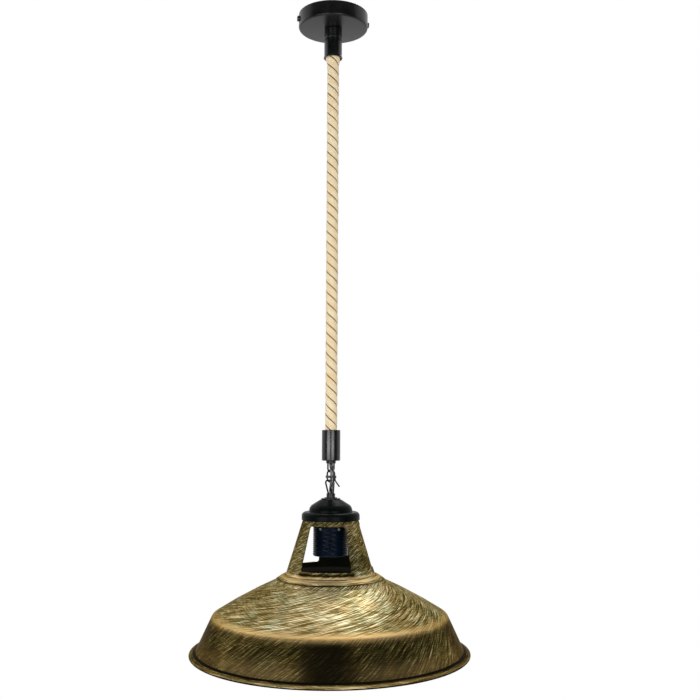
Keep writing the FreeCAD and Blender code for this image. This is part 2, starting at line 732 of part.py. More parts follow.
def cable_tie():
    """A strap round the flex and the left bar of the link, with its head and its tail at the flex."""
    level = LINK_LOW_BAR + TIE_RISE
    link_bar = around(LINK_TURN, -LINK_HALF_WIDTH, level)
    flex_bar = flex_place(level)
    solids = [belt((flex_bar, FLEX_RADIUS + TIE_AIR + grow), (link_bar, BAR_RADIUS + TIE_AIR + grow))
              for grow in (0, TIE_THICKNESS)]
    middle = flex_bar + around(TIE_HEAD_TURN, FLEX_RADIUS + TIE_AIR + TIE_HEAD / 2, 0)
    head = box(middle.x, middle.y, level - TIE_HEAD / 2, TIE_HEAD, TIE_HEAD * 3 / 4, TIE_HEAD)
    head = head.makeFillet(TIE_HEAD / 8, head.Edges)
    up = Vector(0, 0, TIE_HEAD)
    flex_way = bar(FLEX_RADIUS + TIE_AIR, flex_bar - up, flex_bar + up)
    band = solids[1].cut(solids[0])
    head = head.cut(solids[0]).cut(flex_way)
    return band.fuse(head).fuse(tie_tail(flex_bar)).removeSplitter()


def tie_tail(flex_bar):
    """The loose end of the tie, which hangs down beside the flex and then turns outwards."""
    start = flex_bar.x + FLEX_RADIUS + TIE_AIR + TIE_THICKNESS
    corners = [(start, flex_bar.z, 0.0), (start, flex_bar.z - TAIL_STRAIGHT, TAIL_BEND),
               (start + TAIL_ASIDE, flex_bar.z - TAIL_FALL, 0.0)]
    tail = sheet_face(corners, TIE_THICKNESS).extrude(Vector(-TAIL_SLANT, TIE_WIDTH, 0))
    tail.translate(Vector(TAIL_SLANT, flex_bar.y - TIE_WIDTH / 2, 0))
    return tail


def belt(far, near):
    """A flat prism of the height of the tie round two circles, each a (middle, radius) pair."""
    (far_middle, far_radius), (near_middle, near_radius) = far, near
    across = far_middle - near_middle
    lean = math.asin((far_radius - near_radius) / across.Length)
    across.normalize()
    side = Vector(-across.y, across.x, 0)
    normals = [side * (sign * math.cos(lean)) - across * math.sin(lean) for sign in (1, -1)]
    far_points = [far_middle + normal * far_radius for normal in normals]
    near_points = [near_middle + normal * near_radius for normal in normals]
    edges = [Part.Arc(far_points[0], far_middle + across * far_radius, far_points[1]).toShape(),
             Part.makeLine(far_points[1], near_points[1]),
             Part.Arc(near_points[1], near_middle - across * near_radius, near_points[0]).toShape(),
             Part.makeLine(near_points[0], far_points[0])]
    face = Part.Face(Part.Wire(edges))
    face.translate(Vector(0, 0, -TIE_WIDTH / 2))
    return face.extrude(Vector(0, 0, TIE_WIDTH))


# Cap and holder

def cap_loop():
    """A bow of round bar, bent over to one side, on the hollow stud that carries the cap and the rest."""
    foot = CAP_LOOP_FOOT
    low = CAP_COLLAR_TOP - BAR_RADIUS
    left_share, right_share = 0.3, 0.8
    corners = [(Vector(-foot, 0, low), 0.0),
               (Vector(-CAP_LOOP_LEFT, 0, CAP_LOOP_BAR), left_share * CAP_LOOP_LEFT),
               (Vector(CAP_LOOP_RIGHT, 0, CAP_LOOP_BAR), right_share * CAP_LOOP_RIGHT),
               (Vector(foot, 0, low), 0.0)]
    stud = rod(CAP_COLLAR_RADIUS, HOLDER_NUT_FOOT, CAP_COLLAR_TOP)
    bore = rod(LOOP_BORE, HOLDER_NUT_FOOT - OVERRUN, CAP_COLLAR_TOP + OVERRUN)
    bow = bar_along(corners, BAR_RADIUS)
    return chain_plane(stud.fuse(bow).removeSplitter().cut(bore))


def washer(radius, top):
    disc = rod(radius, top - WASHER_THICKNESS, top)
    disc = softened(disc, WASHER_THICKNESS / 4, top - WASHER_THICKNESS / 2, top + SEAT)
    return disc.cut(rod(CAP_COLLAR_RADIUS + SEAT, top - WASHER_THICKNESS - OVERRUN, top + OVERRUN))


def cap():
    """A pressed dome with a rolled flange."""
    dome_foot = CAP_TOP - CAP_DOME_HEIGHT
    flange_edge = CAP_FLANGE_HEIGHT / 2
    corners = [(CAP_COLLAR_RADIUS + SEAT, CAP_TOP, 0.0), (CAP_TOP_RADIUS, CAP_TOP, CAP_TOP_RADIUS * 2 / 3),
               (CAP_DOME_RADIUS, CAP_TOP - CAP_DOME_SLOPE, CAP_DOME_SLOPE),
               (CAP_DOME_RADIUS, dome_foot, CAP_WALL / 2),
               (CAP_FLANGE_RADIUS, dome_foot, flange_edge), (CAP_FLANGE_RADIUS, CAP_FOOT, 0.0)]
    return spun_sheet(corners, CAP_WALL)


def cap_nut():
    return nut(CAP_UNDER - NUT_HEIGHT, CAP_UNDER)


def holder_dome():
    """The holder's upper cover, nutted to the end of the stud."""
    edge = HOLDER_WALL * 2
    corners = [(CAP_COLLAR_RADIUS + SEAT, HOLDER_TOP, 0.0), (HOLDER_DOME_RADIUS, HOLDER_TOP, edge),
               (HOLDER_DOME_RADIUS, SKIRT_TOP, 0.0)]
    return spun_sheet(corners, HOLDER_WALL)


def earth_tag():
    """A ring tag under the holder's nut, with a tongue for the earth core."""
    high = HOLDER_TOP - HOLDER_WALL
    tag = ring(TAG_RADIUS, CAP_COLLAR_RADIUS + SEAT, high - TAG_THICKNESS, high)
    tongue = box(TAG_RADIUS, 0, high - TAG_THICKNESS, TAG_RADIUS, TAG_RADIUS / 2, TAG_THICKNESS)
    tongue = tongue.cut(rod(CAP_COLLAR_RADIUS + SEAT, high - OVERRUN, high + OVERRUN))
    return tag.fuse(tongue).removeSplitter()


def dome_nut():
    high = HOLDER_TOP - HOLDER_WALL - TAG_THICKNESS
    return nut(high - DOME_NUT_HEIGHT, high)


def holder_skirt():
    """The threaded barrel of the holder; its thread is cut as rings."""
    points = [(SKIRT_BORE, SKIRT_TOP), (SHOULDER_RADIUS, SKIRT_TOP), (SHOULDER_RADIUS, SHADE_TOP),
              (SKIRT_RADIUS, SHADE_TOP)]
    root = SKIRT_RADIUS - THREAD_DEPTH
    level = SHADE_TOP - SKIRT_TOP_PLAIN
    while level - THREAD_PITCH > SKIRT_FOOT + THREAD_PITCH:
        points += [(SKIRT_RADIUS, level), (root, level - THREAD_PITCH / 2)]
        level -= THREAD_PITCH
    points += [(SKIRT_RADIUS, level), (SKIRT_RADIUS, SKIRT_FOOT + FERRULE_BEVEL),
               (SKIRT_RADIUS - FERRULE_BEVEL, SKIRT_FOOT), (MOUTH_RADIUS, SKIRT_FOOT),
               (MOUTH_RADIUS, SKIRT_FOOT + SKIRT_LIP), (SKIRT_BORE, SKIRT_FOOT + SKIRT_LIP)]
    body = spun(points)
    for hole in pin_bars(PIN_RADIUS + SEAT, SKIRT_RADIUS + OVERRUN):
        body = body.cut(hole)
    return body


def pin_bars(radius, reach):
    """The two level pins, or the holes for them."""
    level = SHADE_TOP - PIN_DROP
    bars = []
    for spread in (-PIN_SPREAD, PIN_SPREAD):
        angle = FRONT + WINDOW_TURN / 2 + spread
        bars.append(bar(radius, around(angle, SKIRT_RADIUS - PIN_LENGTH, level), around(angle, reach, level)))
    return bars


def holder_pins():
    """Bright pins that hold the insulator in the skirt."""
    pins = pin_bars(PIN_RADIUS, SKIRT_RADIUS + PIN_PROUD)
    rounding = PIN_PROUD / 2
    return Part.makeCompound([pin.makeFillet(rounding, outer_edge(pin)) for pin in pins])


def outer_edge(pin):
    """The round edge of a level pin that lies furthest from the axis."""
    circles = [edge for edge in pin.Edges if edge.Closed]
    return [max(circles, key=lambda edge: math.hypot(edge.CenterOfMass.x, edge.CenterOfMass.y))]


def insulator():
    body = rod(SKIRT_BORE - SEAT, INSULATOR_FOOT, INSULATOR_TOP)
    body = body.cut(rod(SHELL_RADIUS / 2, INSULATOR_FOOT - OVERRUN, INSULATOR_FOOT + CONTACT_DROP / 2))
    for hole in pin_bars(PIN_RADIUS + SEAT, SKIRT_RADIUS):
        body = body.cut(hole)
    for y in (-RIVET_PLACE, RIVET_PLACE):
        foot = Vector(0, y, INSULATOR_FOOT - OVERRUN)
        body = body.cut(Part.makeCylinder(RIVET_RADIUS + SEAT, INSULATOR_HEIGHT, foot))
    return body


def terminals():
    """Two brass posts that stand on the insulator, drilled for the cores."""
    posts = []
    for side in (-1, 1):
        post = box(side * TERMINAL_PLACE, 0, INSULATOR_TOP, TERMINAL_SIZE, TERMINAL_SIZE, TERMINAL_SIZE)
        hole = bar(CORE_RADIUS + SEAT, Vector(0, 0, 0), Vector(side * TERMINAL_PLACE, 0, 0))
        hole.translate(Vector(0, 0, INSULATOR_TOP + TERMINAL_SIZE * 2 / 5))
        posts.append(post.cut(hole).cut(terminal_hole(side, TERMINAL_SCREW_RADIUS + SEAT)))
    return Part.makeCompound(posts)


def terminal_hole(side, radius):
    """The screw hole across a terminal post."""
    level = INSULATOR_TOP + TERMINAL_SIZE * 2 / 5
    x = side * (TERMINAL_PLACE + TERMINAL_SIZE / 4)
    return bar(radius, Vector(x, -TERMINAL_SIZE, level), Vector(x, 0, level))


def terminal_screws():
    level = INSULATOR_TOP + TERMINAL_SIZE * 2 / 5
    screws = []
    for side in (-1, 1):
        x = side * (TERMINAL_PLACE + TERMINAL_SIZE / 4)
        seat = Vector(x, -TERMINAL_SIZE / 2, level)
        screws.append(slotted_screw(seat, Vector(0, -1, 0), TERMINAL_SIZE * 2 / 5, TERMINAL_SIZE / 4,
                                    TERMINAL_SCREW_RADIUS, TERMINAL_SIZE / 2 - CORE_RADIUS - SEAT))
    return Part.makeCompound(screws)


def shell_plate():
    """The brass plate under the insulator that carries the screw shell, with its two rivet holes."""
    plate = ring(SHELL_RADIUS, SHELL_RADIUS / 2, INSULATOR_FOOT - SHELL_WALL, INSULATOR_FOOT)
    for hole in rivet_holes():
        plate = plate.cut(hole)
    return plate


def screw_shell():
    """The brass shell with the lamp's rounded thread, spun as rings, soldered under its plate."""
    level = INSULATOR_FOOT - SHELL_PITCH / 2
    mid = SHELL_RADIUS - SHELL_WAVE / 2
    corners = [(mid, INSULATOR_FOOT - SHELL_WALL, 0.0), (mid, level, 0.0)]
    for turn in range(SHELL_TURNS):
        corners += [(SHELL_RADIUS - SHELL_WAVE, level - SHELL_PITCH / 4, SHELL_PITCH / 4),
                    (SHELL_RADIUS, level - SHELL_PITCH * 3 / 4, SHELL_PITCH / 4)]
        level -= SHELL_PITCH
    corners += [(SHELL_RADIUS, level, 0.0)]
    corners.append((SHELL_RADIUS, SKIRT_FOOT + SKIRT_LIP / 2, 0.0))
    return spun_sheet(corners, SHELL_WALL)


def centre_contact():
    """A sprung strip under the insulator with a dimple for the lamp's tip."""
    wide = SHELL_RADIUS / 2 - CONTACT_THICKNESS
    top = INSULATOR_FOOT + CONTACT_DROP / 2
    corners = [(-wide, top, 0.0), (0, top, CONTACT_DROP), (wide, top - CONTACT_DROP, 0.0)]
    strip = sheet_face(corners, CONTACT_THICKNESS).extrude(Vector(0, CONTACT_WIDTH, 0))
    strip.translate(Vector(0, -CONTACT_WIDTH / 2, 0))
    return strip


def shell_rivets():
    """Two rivets that hold the shell's plate under the insulator."""
    rivets = []
    for y in (-RIVET_PLACE, RIVET_PLACE):
        head_low = INSULATOR_FOOT - SHELL_WALL - RIVET_RADIUS / 2
        shank = Part.makeCylinder(RIVET_RADIUS, INSULATOR_HEIGHT / 2, Vector(0, y, head_low))
        head = Part.makeCylinder(2 * RIVET_RADIUS, RIVET_RADIUS / 2, Vector(0, y, head_low))
        rivets.append(shank.fuse(head).removeSplitter())
    return Part.makeCompound(rivets)


def rivet_holes():
    return [Part.makeCylinder(RIVET_RADIUS + SEAT, 2 * OVERRUN, Vector(0, y, INSULATOR_FOOT - OVERRUN))
            for y in (-RIVET_PLACE, RIVET_PLACE)]


def holder_cores():
    """Live and neutral cores, from the end of the flex to the two terminals."""
    level = INSULATOR_TOP + TERMINAL_SIZE * 2 / 5
    cores = []
    for side in (-1, 1):
        start = Vector(side * CORE_SPACING / 2, 0, HOLDER_NUT_FOOT - SEAT)
        end = Vector(side * TERMINAL_PLACE, 0, level)
        points = [start, Vector(start.x, 0, level), end]
        cores.append(cable_along(points, CORE_RADIUS))
    return Part.makeCompound(cores)


# Shade

def shade_outline():
    """The outer side of the spun sheet, from the hole in its top to the rolled rim."""
    top = SHADE_TOP
    neck_foot = top - NECK_HEIGHT
    collar_foot = neck_foot - COLLAR_HEIGHT
    collar_width = COLLAR_RADIUS - NECK_RADIUS
    knee = collar_foot - KNEE_FALL
    foot = knee - SKIRT_FALL
    hole = SKIRT_RADIUS + SHADE_HOLE_AIR
    collar_shares = [(0.20, 0.13), (0.50, 0.34), (0.86, 0.74)]
    middle_across_share, middle_down_share = 0.483, 0.415
    shoulder_middle = (COLLAR_RADIUS + middle_across_share * (KNEE_RADIUS - COLLAR_RADIUS),
                       collar_foot - middle_down_share * KNEE_FALL, SHOULDER_ROUNDING)
    points = [(hole, top, 0.0), (SHADE_TOP_RADIUS, top, SHADE_TOP_EDGE),
              (NECK_RADIUS, neck_foot, 3 * SHADE_WALL)]
    for across_share, down_share in collar_shares:
        r = NECK_RADIUS + across_share * collar_width
        z = neck_foot - down_share * COLLAR_HEIGHT
        points += [(r, z, STEP_RISE), (r + STEP_RISE / 3, z - STEP_RISE, STEP_RISE)]
    points += [(COLLAR_RADIUS, collar_foot - STEP_RISE, STEP_RISE),
               (COLLAR_RADIUS + 4 * STEP_RISE, collar_foot - STEP_RISE, 2 * STEP_RISE),
               shoulder_middle, (KNEE_RADIUS, knee, KNEE_ROUNDING), (SKIRT_FOOT_RADIUS, foot, SHADE_WALL),
               (RIM_RADIUS, foot - RIM_FALL + RIM_ROLL / 2, 0.0)]
    return points


def rim_level():
    return SHADE_TOP - NECK_HEIGHT - COLLAR_HEIGHT - KNEE_FALL - SKIRT_FALL - RIM_FALL


def window_cutter(turn):
    """A trapezium with rounded corners, pushed outwards through the neck."""
    high = SHADE_TOP - WINDOW_TOP
    low = high - WINDOW_HEIGHT
    slope = (NECK_RADIUS - SHADE_TOP_RADIUS) / NECK_HEIGHT
    half_sine = math.sin(math.radians(WINDOW_HALF_ANGLE))
    top_half = (SHADE_TOP_RADIUS + slope * WINDOW_TOP) * half_sine
    low_half = (SHADE_TOP_RADIUS + slope * (WINDOW_TOP + WINDOW_HEIGHT)) * half_sine
    start = Vector(0, 0, high)
    places = [(top_half, high), (low_half, low), (-low_half, low), (-top_half, high)]
    corners = [(Vector(x, 0, z), WINDOW_CORNER) for x, z in places]
    corners = [(start, 0.0)] + corners + [(start, 0.0)]
    face = Part.Face(Part.Wire(rounded(corners)))
    near = SHADE_TOP_RADIUS * math.cos(math.radians(WINDOW_HALF_ANGLE)) / 2
    cutter = face.extrude(Vector(0, -NECK_RADIUS - near, 0))
    cutter.translate(Vector(0, -near, 0))
    return turned(cutter, turn)


def shade():
    body = spun_sheet(shade_outline(), SHADE_WALL)
    roll = Part.makeTorus(RIM_RADIUS, RIM_ROLL, Vector(0, 0, rim_level()))
    body = body.fuse(roll).removeSplitter()
    for place in range(WINDOW_COUNT):
        body = body.cut(window_cutter(WINDOW_TURN + place * 360 / WINDOW_COUNT))
    return body


def shade_ring():
    """The ring that screws up the skirt and clamps the shade against its shoulder."""
    high = SHADE_TOP - SHADE_WALL
    low = high - SHADE_RING_HEIGHT
    body = ring(SHADE_RING_RADIUS, SKIRT_RADIUS + SEAT, low, high)
    for place in range(SHADE_RING_NOTCHES):
        centre = around(place * 360 / SHADE_RING_NOTCHES, SHADE_RING_RADIUS, low - OVERRUN)
        body = body.cut(Part.makeCylinder(SHADE_RING_NOTCH, SHADE_RING_HEIGHT / 2 + OVERRUN, centre))
    return body


FIXED_PIECES = {
    "ceiling_bracket": ceiling_bracket,
    "rose_cup": rose_cup,
    "rose_side_screws": rose_side_screws,
    "earth_washer": earth_washer,
    "earth_screw": earth_screw,
    "terminal_block": terminal_block,
    "terminal_barrels": terminal_barrels,
    "clamp_screws": clamp_screws,
    "stem_tube": stem_tube,
    "rose_nut": rose_nut,
    "stem_coupling": stem_coupling,
    "upper_ferrule": upper_ferrule,
    "upper_nut": upper_nut,
    "upper_grub_screw": lambda: grub(upper_grub_seat()),
    "rose_flex": rose_flex,
    "rose_cores": rose_cores,
    "earth_core": earth_core,
}

HANGING_PIECES = {
    "hemp_rope": hemp_rope,
    "rope_flex": rope_flex,
    "lower_ferrule": lower_ferrule,
    "lower_grub_screw": lambda: grub(lower_grub_seat()),
    "lower_nut": lower_nut,
    "lower_loop": lower_loop,
    "chain_link": chain_link,
    "flex_drop": flex_drop,
    "cable_tie": cable_tie,
    "cap_loop": cap_loop,
    "small_washer": lambda: washer(SMALL_WASHER_RADIUS, WASHER_TOP),
    "large_washer": lambda: washer(LARGE_WASHER_RADIUS, WASHER_TOP - WASHER_THICKNESS),
    "cap": cap,
    "cap_nut": cap_nut,
    "holder_dome": holder_dome,
    "earth_tag": earth_tag,
    "dome_nut": dome_nut,
    "holder_skirt": holder_skirt,
    "holder_pins": holder_pins,
    "insulator": insulator,
    "terminals": terminals,
    "terminal_screws": terminal_screws,
    "shell_plate": shell_plate,
    "screw_shell": screw_shell,
    "shell_rivets": shell_rivets,
    "centre_contact": centre_contact,
    "holder_cores": holder_cores,
    "shade_ring": shade_ring,
    "shade": shade,
}

os.makedirs("parts", exist_ok=True)
for pieces, turn in ((FIXED_PIECES, 0.0), (HANGING_PIECES, FACING)):
    for name, make in pieces.items():
        piece = turned(make(), turn)
        piece.exportStep("parts/" + name + ".step")
        print(name, len(piece.Solids), round(piece.Volume, 1), "" if piece.isValid() else "not valid")
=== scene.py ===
import math

import bpy
import mathutils
import numpy as np
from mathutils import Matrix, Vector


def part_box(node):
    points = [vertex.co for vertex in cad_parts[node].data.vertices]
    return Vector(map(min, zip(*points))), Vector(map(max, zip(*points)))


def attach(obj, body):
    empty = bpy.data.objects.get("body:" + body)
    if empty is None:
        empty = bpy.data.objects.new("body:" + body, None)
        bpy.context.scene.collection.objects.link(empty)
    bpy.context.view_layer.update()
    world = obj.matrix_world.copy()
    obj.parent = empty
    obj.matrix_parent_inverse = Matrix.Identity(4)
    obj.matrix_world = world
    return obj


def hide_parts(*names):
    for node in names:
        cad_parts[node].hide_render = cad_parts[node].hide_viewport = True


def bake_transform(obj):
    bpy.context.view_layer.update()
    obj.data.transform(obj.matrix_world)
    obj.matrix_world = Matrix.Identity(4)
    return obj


# Barn pendant light: a ceiling rose, a hemp rope between two ferrules, a short chain with the flex
# beside it, a cap, a threaded lampholder and a spun brass shade with three windows. Lengths are in
# millimetres in the frame of the CAD model, and become metres where a mesh is made. The pieces below
# the rope are drawn with their room side towards -Y and then turned about Z by FACING.

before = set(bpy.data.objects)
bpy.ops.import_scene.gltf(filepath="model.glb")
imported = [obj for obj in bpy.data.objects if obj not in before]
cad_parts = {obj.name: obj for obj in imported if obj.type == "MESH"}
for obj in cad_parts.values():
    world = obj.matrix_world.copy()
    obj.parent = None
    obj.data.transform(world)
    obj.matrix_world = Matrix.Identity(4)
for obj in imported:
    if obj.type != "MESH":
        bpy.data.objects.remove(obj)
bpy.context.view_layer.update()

MM = 0.001
FACING = -11.0             # degrees that the hanging pieces are turned about Z
FRONT = -90.0              # azimuth of their room side, as drawn
CHAIN_TURN = 38.0          # degrees of the plane of the two loops, as drawn
LINK_TURN = -18.0          # degrees of the plane of the link, as drawn
TOUCH = 0.05               # gap or overlap of two pieces that meet
SHEET = 1.2                # wall of the turned and pressed steel
STUD_HOLE = 4.95           # radius of a hole that a hollow stud passes


def levels(node):
    """The highest and the lowest z of a CAD node, in mm."""
    low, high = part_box(node)
    return high.z / MM, low.z / MM


def radius_of(node):
    """Half the width of a round CAD node, in mm."""
    low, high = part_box(node)
    return (high.x - low.x) / 2 / MM


# Surfaces

def turned(points, degrees):
    """Points turned about the z axis: x and y are multiplied by the turn's cosine and sine."""
    angle = math.radians(degrees)
    cosine, sine = math.cos(angle), math.sin(angle)
    turn = np.array([[cosine, -sine, 0], [sine, cosine, 0], [0, 0, 1]])
    return np.asarray(points, float) @ turn.T


def rounded(corners, closed=True, step=12.0):
    """A line through (x, y, rounding) corners. Each corner becomes an arc of its rounding, tangent to
    both sides: centre plus rounding times the cosine and sine of an angle that runs over the turn,
    in parts of less than step degrees."""
    corners = [(np.array(corner[:2], float), corner[2]) for corner in corners]
    count = len(corners)
    line = []
    for place, (here, rounding) in enumerate(corners):
        inner = closed or 0 < place < count - 1
        if not inner or rounding <= 0:
            line.append(here[None, :])
            continue
        into = here - corners[place - 1][0]
        out = corners[(place + 1) % count][0] - here
        into, out = into / np.linalg.norm(into), out / np.linalg.norm(out)
        turn = math.atan2(into[0] * out[1] - into[1] * out[0], into @ out)
        normal = math.copysign(1.0, turn) * np.array([-into[1], into[0]])
        centre = here - into * rounding * math.tan(abs(turn) / 2) + normal * rounding
        start = math.atan2(-normal[1], -normal[0])
        angles = start + np.linspace(0.0, turn, int(abs(math.degrees(turn)) / step) + 2)
        line.append(centre + rounding * np.stack([np.cos(angles), np.sin(angles)], axis=1))
    return np.concatenate(line)


def line_length(line):
    """How far along a line each of its points lies."""
    return np.concatenate([[0], np.cumsum(np.linalg.norm(np.diff(line, axis=0), axis=1))])


def spin(profile, sides=96):
    """A surface of revolution: row i, column j is (r_i cos a_j, r_i sin a_j, z_i)."""
    angles = np.linspace(0, 2 * math.pi, sides, endpoint=False)
    r, z = profile[:, 0:1], profile[:, 1:2]
    return np.stack([r * np.cos(angles), r * np.sin(angles), z + 0 * angles], axis=2)


def sweep(path, section, sideways, closed=False):
    """A section carried along a path: each row is path + a * side + b * up, where side is the cross
    product of the fixed direction sideways with the path's own direction, and up that of both."""
    if closed:
        along = np.roll(path, -1, axis=0) - np.roll(path, 1, axis=0)
    else:
        along = np.gradient(path, axis=0)
    along /= np.linalg.norm(along, axis=1, keepdims=True)
    side = np.cross(np.asarray(sideways, float), along)
    side /= np.linalg.norm(side, axis=1, keepdims=True)
    up = np.cross(along, side)
    section = np.broadcast_to(section, (len(path),) + section.shape[-2:])
    a, b = section[:, :, 0:1], section[:, :, 1:2]
    return path[:, None, :] + a * side[:, None, :] + b * up[:, None, :]


def circle(radius, sides):
    """Points of a circle: radius times cosine and sine."""
    angles = np.linspace(0, 2 * math.pi, sides, endpoint=False)
    return radius * np.stack([np.cos(angles), np.sin(angles)], axis=1)


def skin(grid, wrap_rows=False, wrap_columns=True, poles=True):
    """Points and faces of a grid. Rows that don't wrap are closed by a pole at each end, the middle
    of the end row, and a face at a pole names it twice."""
    rows, columns = grid.shape[:2]
    points = grid.reshape(-1, 3)
    i = np.arange(rows if wrap_rows else rows - 1)[:, None]
    j = np.arange(columns if wrap_columns else columns - 1)[None, :]
    here, above, right = i * columns, (i + 1) % rows * columns, (j + 1) % columns
    faces = np.stack([here + j, here + right, above + right, above + j], axis=2).reshape(-1, 4)
    if wrap_rows or not poles:
        return points, faces
    first, last = np.full(columns, len(points)), np.full(columns, len(points) + 1)
    points = np.concatenate([points, grid[[0, -1]].mean(axis=1)])
    j = np.arange(columns)
    end, right = (rows - 1) * columns, (j + 1) % columns
    low = np.stack([right, j, first, first], axis=1)
    high = np.stack([end + j, end + right, last, last], axis=1)
    return points, np.concatenate([faces, low, high])


def outward(points, faces):
    """The same faces, turned round if the volume that they enclose, the sum of a . (b x c) over
    their triangles, comes out negative."""
    a, b, c, d = (points[faces[:, k]] for k in range(4))
    volume = np.sum(a * np.cross(b, c)) + np.sum(a * np.cross(c, d))
    return points, faces if volume > 0 else faces[:, ::-1]


def joined(*parts):
    """Several (points, faces) parts as one."""
    offsets = np.cumsum([0] + [len(points) for points, _ in parts[:-1]])
    return (np.concatenate([points for points, _ in parts]),
            np.concatenate([faces + offset for (_, faces), offset in zip(parts, offsets)]))


def new_mesh(name, points, faces, finish):
    """A mesh from points in mm and rows of corners. A corner that names the same point as the one
    before it is left out, so a face at a pole has three."""
    kept = faces != np.roll(faces, 1, axis=1)
    sides = kept.sum(axis=1)
    mesh = bpy.data.meshes.new(name)
    mesh.vertices.add(len(points))
    mesh.vertices.foreach_set("co", (points * MM).astype(np.float32).ravel())
    mesh.loops.add(int(sides.sum()))
    mesh.loops.foreach_set("vertex_index", faces[kept].astype(np.int32))
    mesh.polygons.add(len(faces))
    mesh.polygons.foreach_set("loop_start", (np.cumsum(sides) - sides).astype(np.int32))
    mesh.update(calc_edges=True)
    mesh.materials.append(finish)
    return mesh


def in_scene(name, data):
    """An object in the scene that holds the data."""
    thing = bpy.data.objects.new(name, data)
    bpy.context.scene.collection.objects.link(thing)
    return thing


def mesh_piece(name, shape, finish, crease=40.0, values=None, lining=None):
    """A smooth piece with sharp edges where it turns by more than crease degrees. values holds
    numbers for each point, lining a second material and the faces that take it."""
    points, faces = shape
    mesh = new_mesh(name, points, faces, finish)
    for key, data in (values or {}).items():
        kind, field = ("FLOAT_VECTOR", "vector") if data.ndim == 2 else ("FLOAT", "value")
        mesh.attributes.new(key, kind, "POINT").data.foreach_set(field, data.astype(np.float32).ravel())
    if lining:
        mesh.materials.append(lining[0])
        mesh.polygons.foreach_set("material_index", lining[1].astype(np.int32))
    mesh.polygons.foreach_set("use_smooth", np.ones(len(faces), bool))
    mesh.set_sharp_from_angle(angle=math.radians(crease))
    mesh.validate()
    return in_scene(name, mesh)


def place(thing, body, slot, *nodes):
    """The piece rides on a body and stands for CAD nodes, which are hidden. slot is not used."""
    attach(thing, body)
    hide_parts(*nodes)


# Materials

def srgb(code):
    """An sRGB hex colour as linear light."""
    values = [int(code[k:k + 2], 16) / 255 for k in (1, 3, 5)]
    return tuple(v / 12.92 if v <= 0.04045 else ((v + 0.055) / 1.055) ** 2.4 for v in values) + (1.0,)


def feed(node, inputs):
    """Fills a node's inputs. Each is a value, or a (node, output) pair to link."""
    for key, value in inputs.items():
        if isinstance(value, tuple) and isinstance(value[0], bpy.types.Node):
            node.id_data.links.new(value[0].outputs[value[1]], node.inputs[key])
        else:
            node.inputs[key].default_value = value


def add(tree, kind, inputs=None, stops=(), **settings):
    """A shader node with its settings, its inputs and the (position, colour) stops of its ramp."""
    node = tree.nodes.new(kind)
    for key, value in settings.items():
        setattr(node, key, value)
    feed(node, inputs or {})
    if stops:
        elements = node.color_ramp.elements
        while len(elements) < len(stops):
            elements.new(0.5)
        for element, (position, colour) in zip(elements, stops):
            element.position, element.color = position, srgb(colour)
    return node


def new_material(name, **sockets):
    """A material with a Principled shader; the sockets are its constant values."""
    material = bpy.data.materials.new(name)
    material.use_nodes = True
    tree = material.node_tree
    shader = tree.nodes["Principled BSDF"]
    feed(shader, {key.replace("_", " "): value for key, value in sockets.items()})
    return material, tree, shader


def per_mm(size):
    """A noise scale on Object coordinates, in metres, for a feature of a size in mm."""
    return 1.0 / (size * MM)


def powder_coat(name, colour, light, roughness, shine):
    """Black polyester powder on steel: even, with fine orange peel that breaks up its gloss."""
    material, tree, shader = new_material(name, IOR=1.48, Specular_IOR_Level=shine)
    where = add(tree, "ShaderNodeTexCoord")
    peel = add(tree, "ShaderNodeTexNoise", {"Vector": (where, "Object"), "Scale": per_mm(1.1), "Detail": 3.0})
    dust = add(tree, "ShaderNodeTexNoise", {"Vector": (where, "Object"), "Scale": per_mm(9.0), "Detail": 4.0})
    tone = add(tree, "ShaderNodeValToRGB", {"Fac": (dust, "Fac")}, [(0.35, colour), (0.75, light)])
    gloss = add(tree, "ShaderNodeMapRange", {"Value": (dust, "Fac"), "To Min": roughness - 0.05,
                                             "To Max": roughness + 0.08})
    bump = add(tree, "ShaderNodeBump", {"Height": (peel, "Fac"), "Strength": 0.12, "Distance": 0.05 * MM})
    feed(shader, {"Base Color": (tone, "Color"), "Roughness": (gloss, "Result"), "Normal": (bump, "Normal")})
    return material


def blackened_steel():
    """Round bar dipped in black lacquer: glossier than powder, thin on the bends."""
    material, tree, shader = new_material("blackened_steel_bar", Metallic=0.55)
    where = add(tree, "ShaderNodeTexCoord")
    wear = add(tree, "ShaderNodeTexNoise", {"Vector": (where, "Object"), "Scale": per_mm(2.6), "Detail": 5.0})
    tone = add(tree, "ShaderNodeValToRGB", {"Fac": (wear, "Fac")}, [(0.45, "#0b0c0d"), (0.72, "#26282a")])
    gloss = add(tree, "ShaderNodeMapRange", {"Value": (wear, "Fac"), "To Min": 0.25, "To Max": 0.5})
    bump = add(tree, "ShaderNodeBump", {"Height": (wear, "Fac"), "Strength": 0.2, "Distance": 0.08 * MM})
    feed(shader, {"Base Color": (tone, "Color"), "Roughness": (gloss, "Result"), "Normal": (bump, "Normal")})
    return material


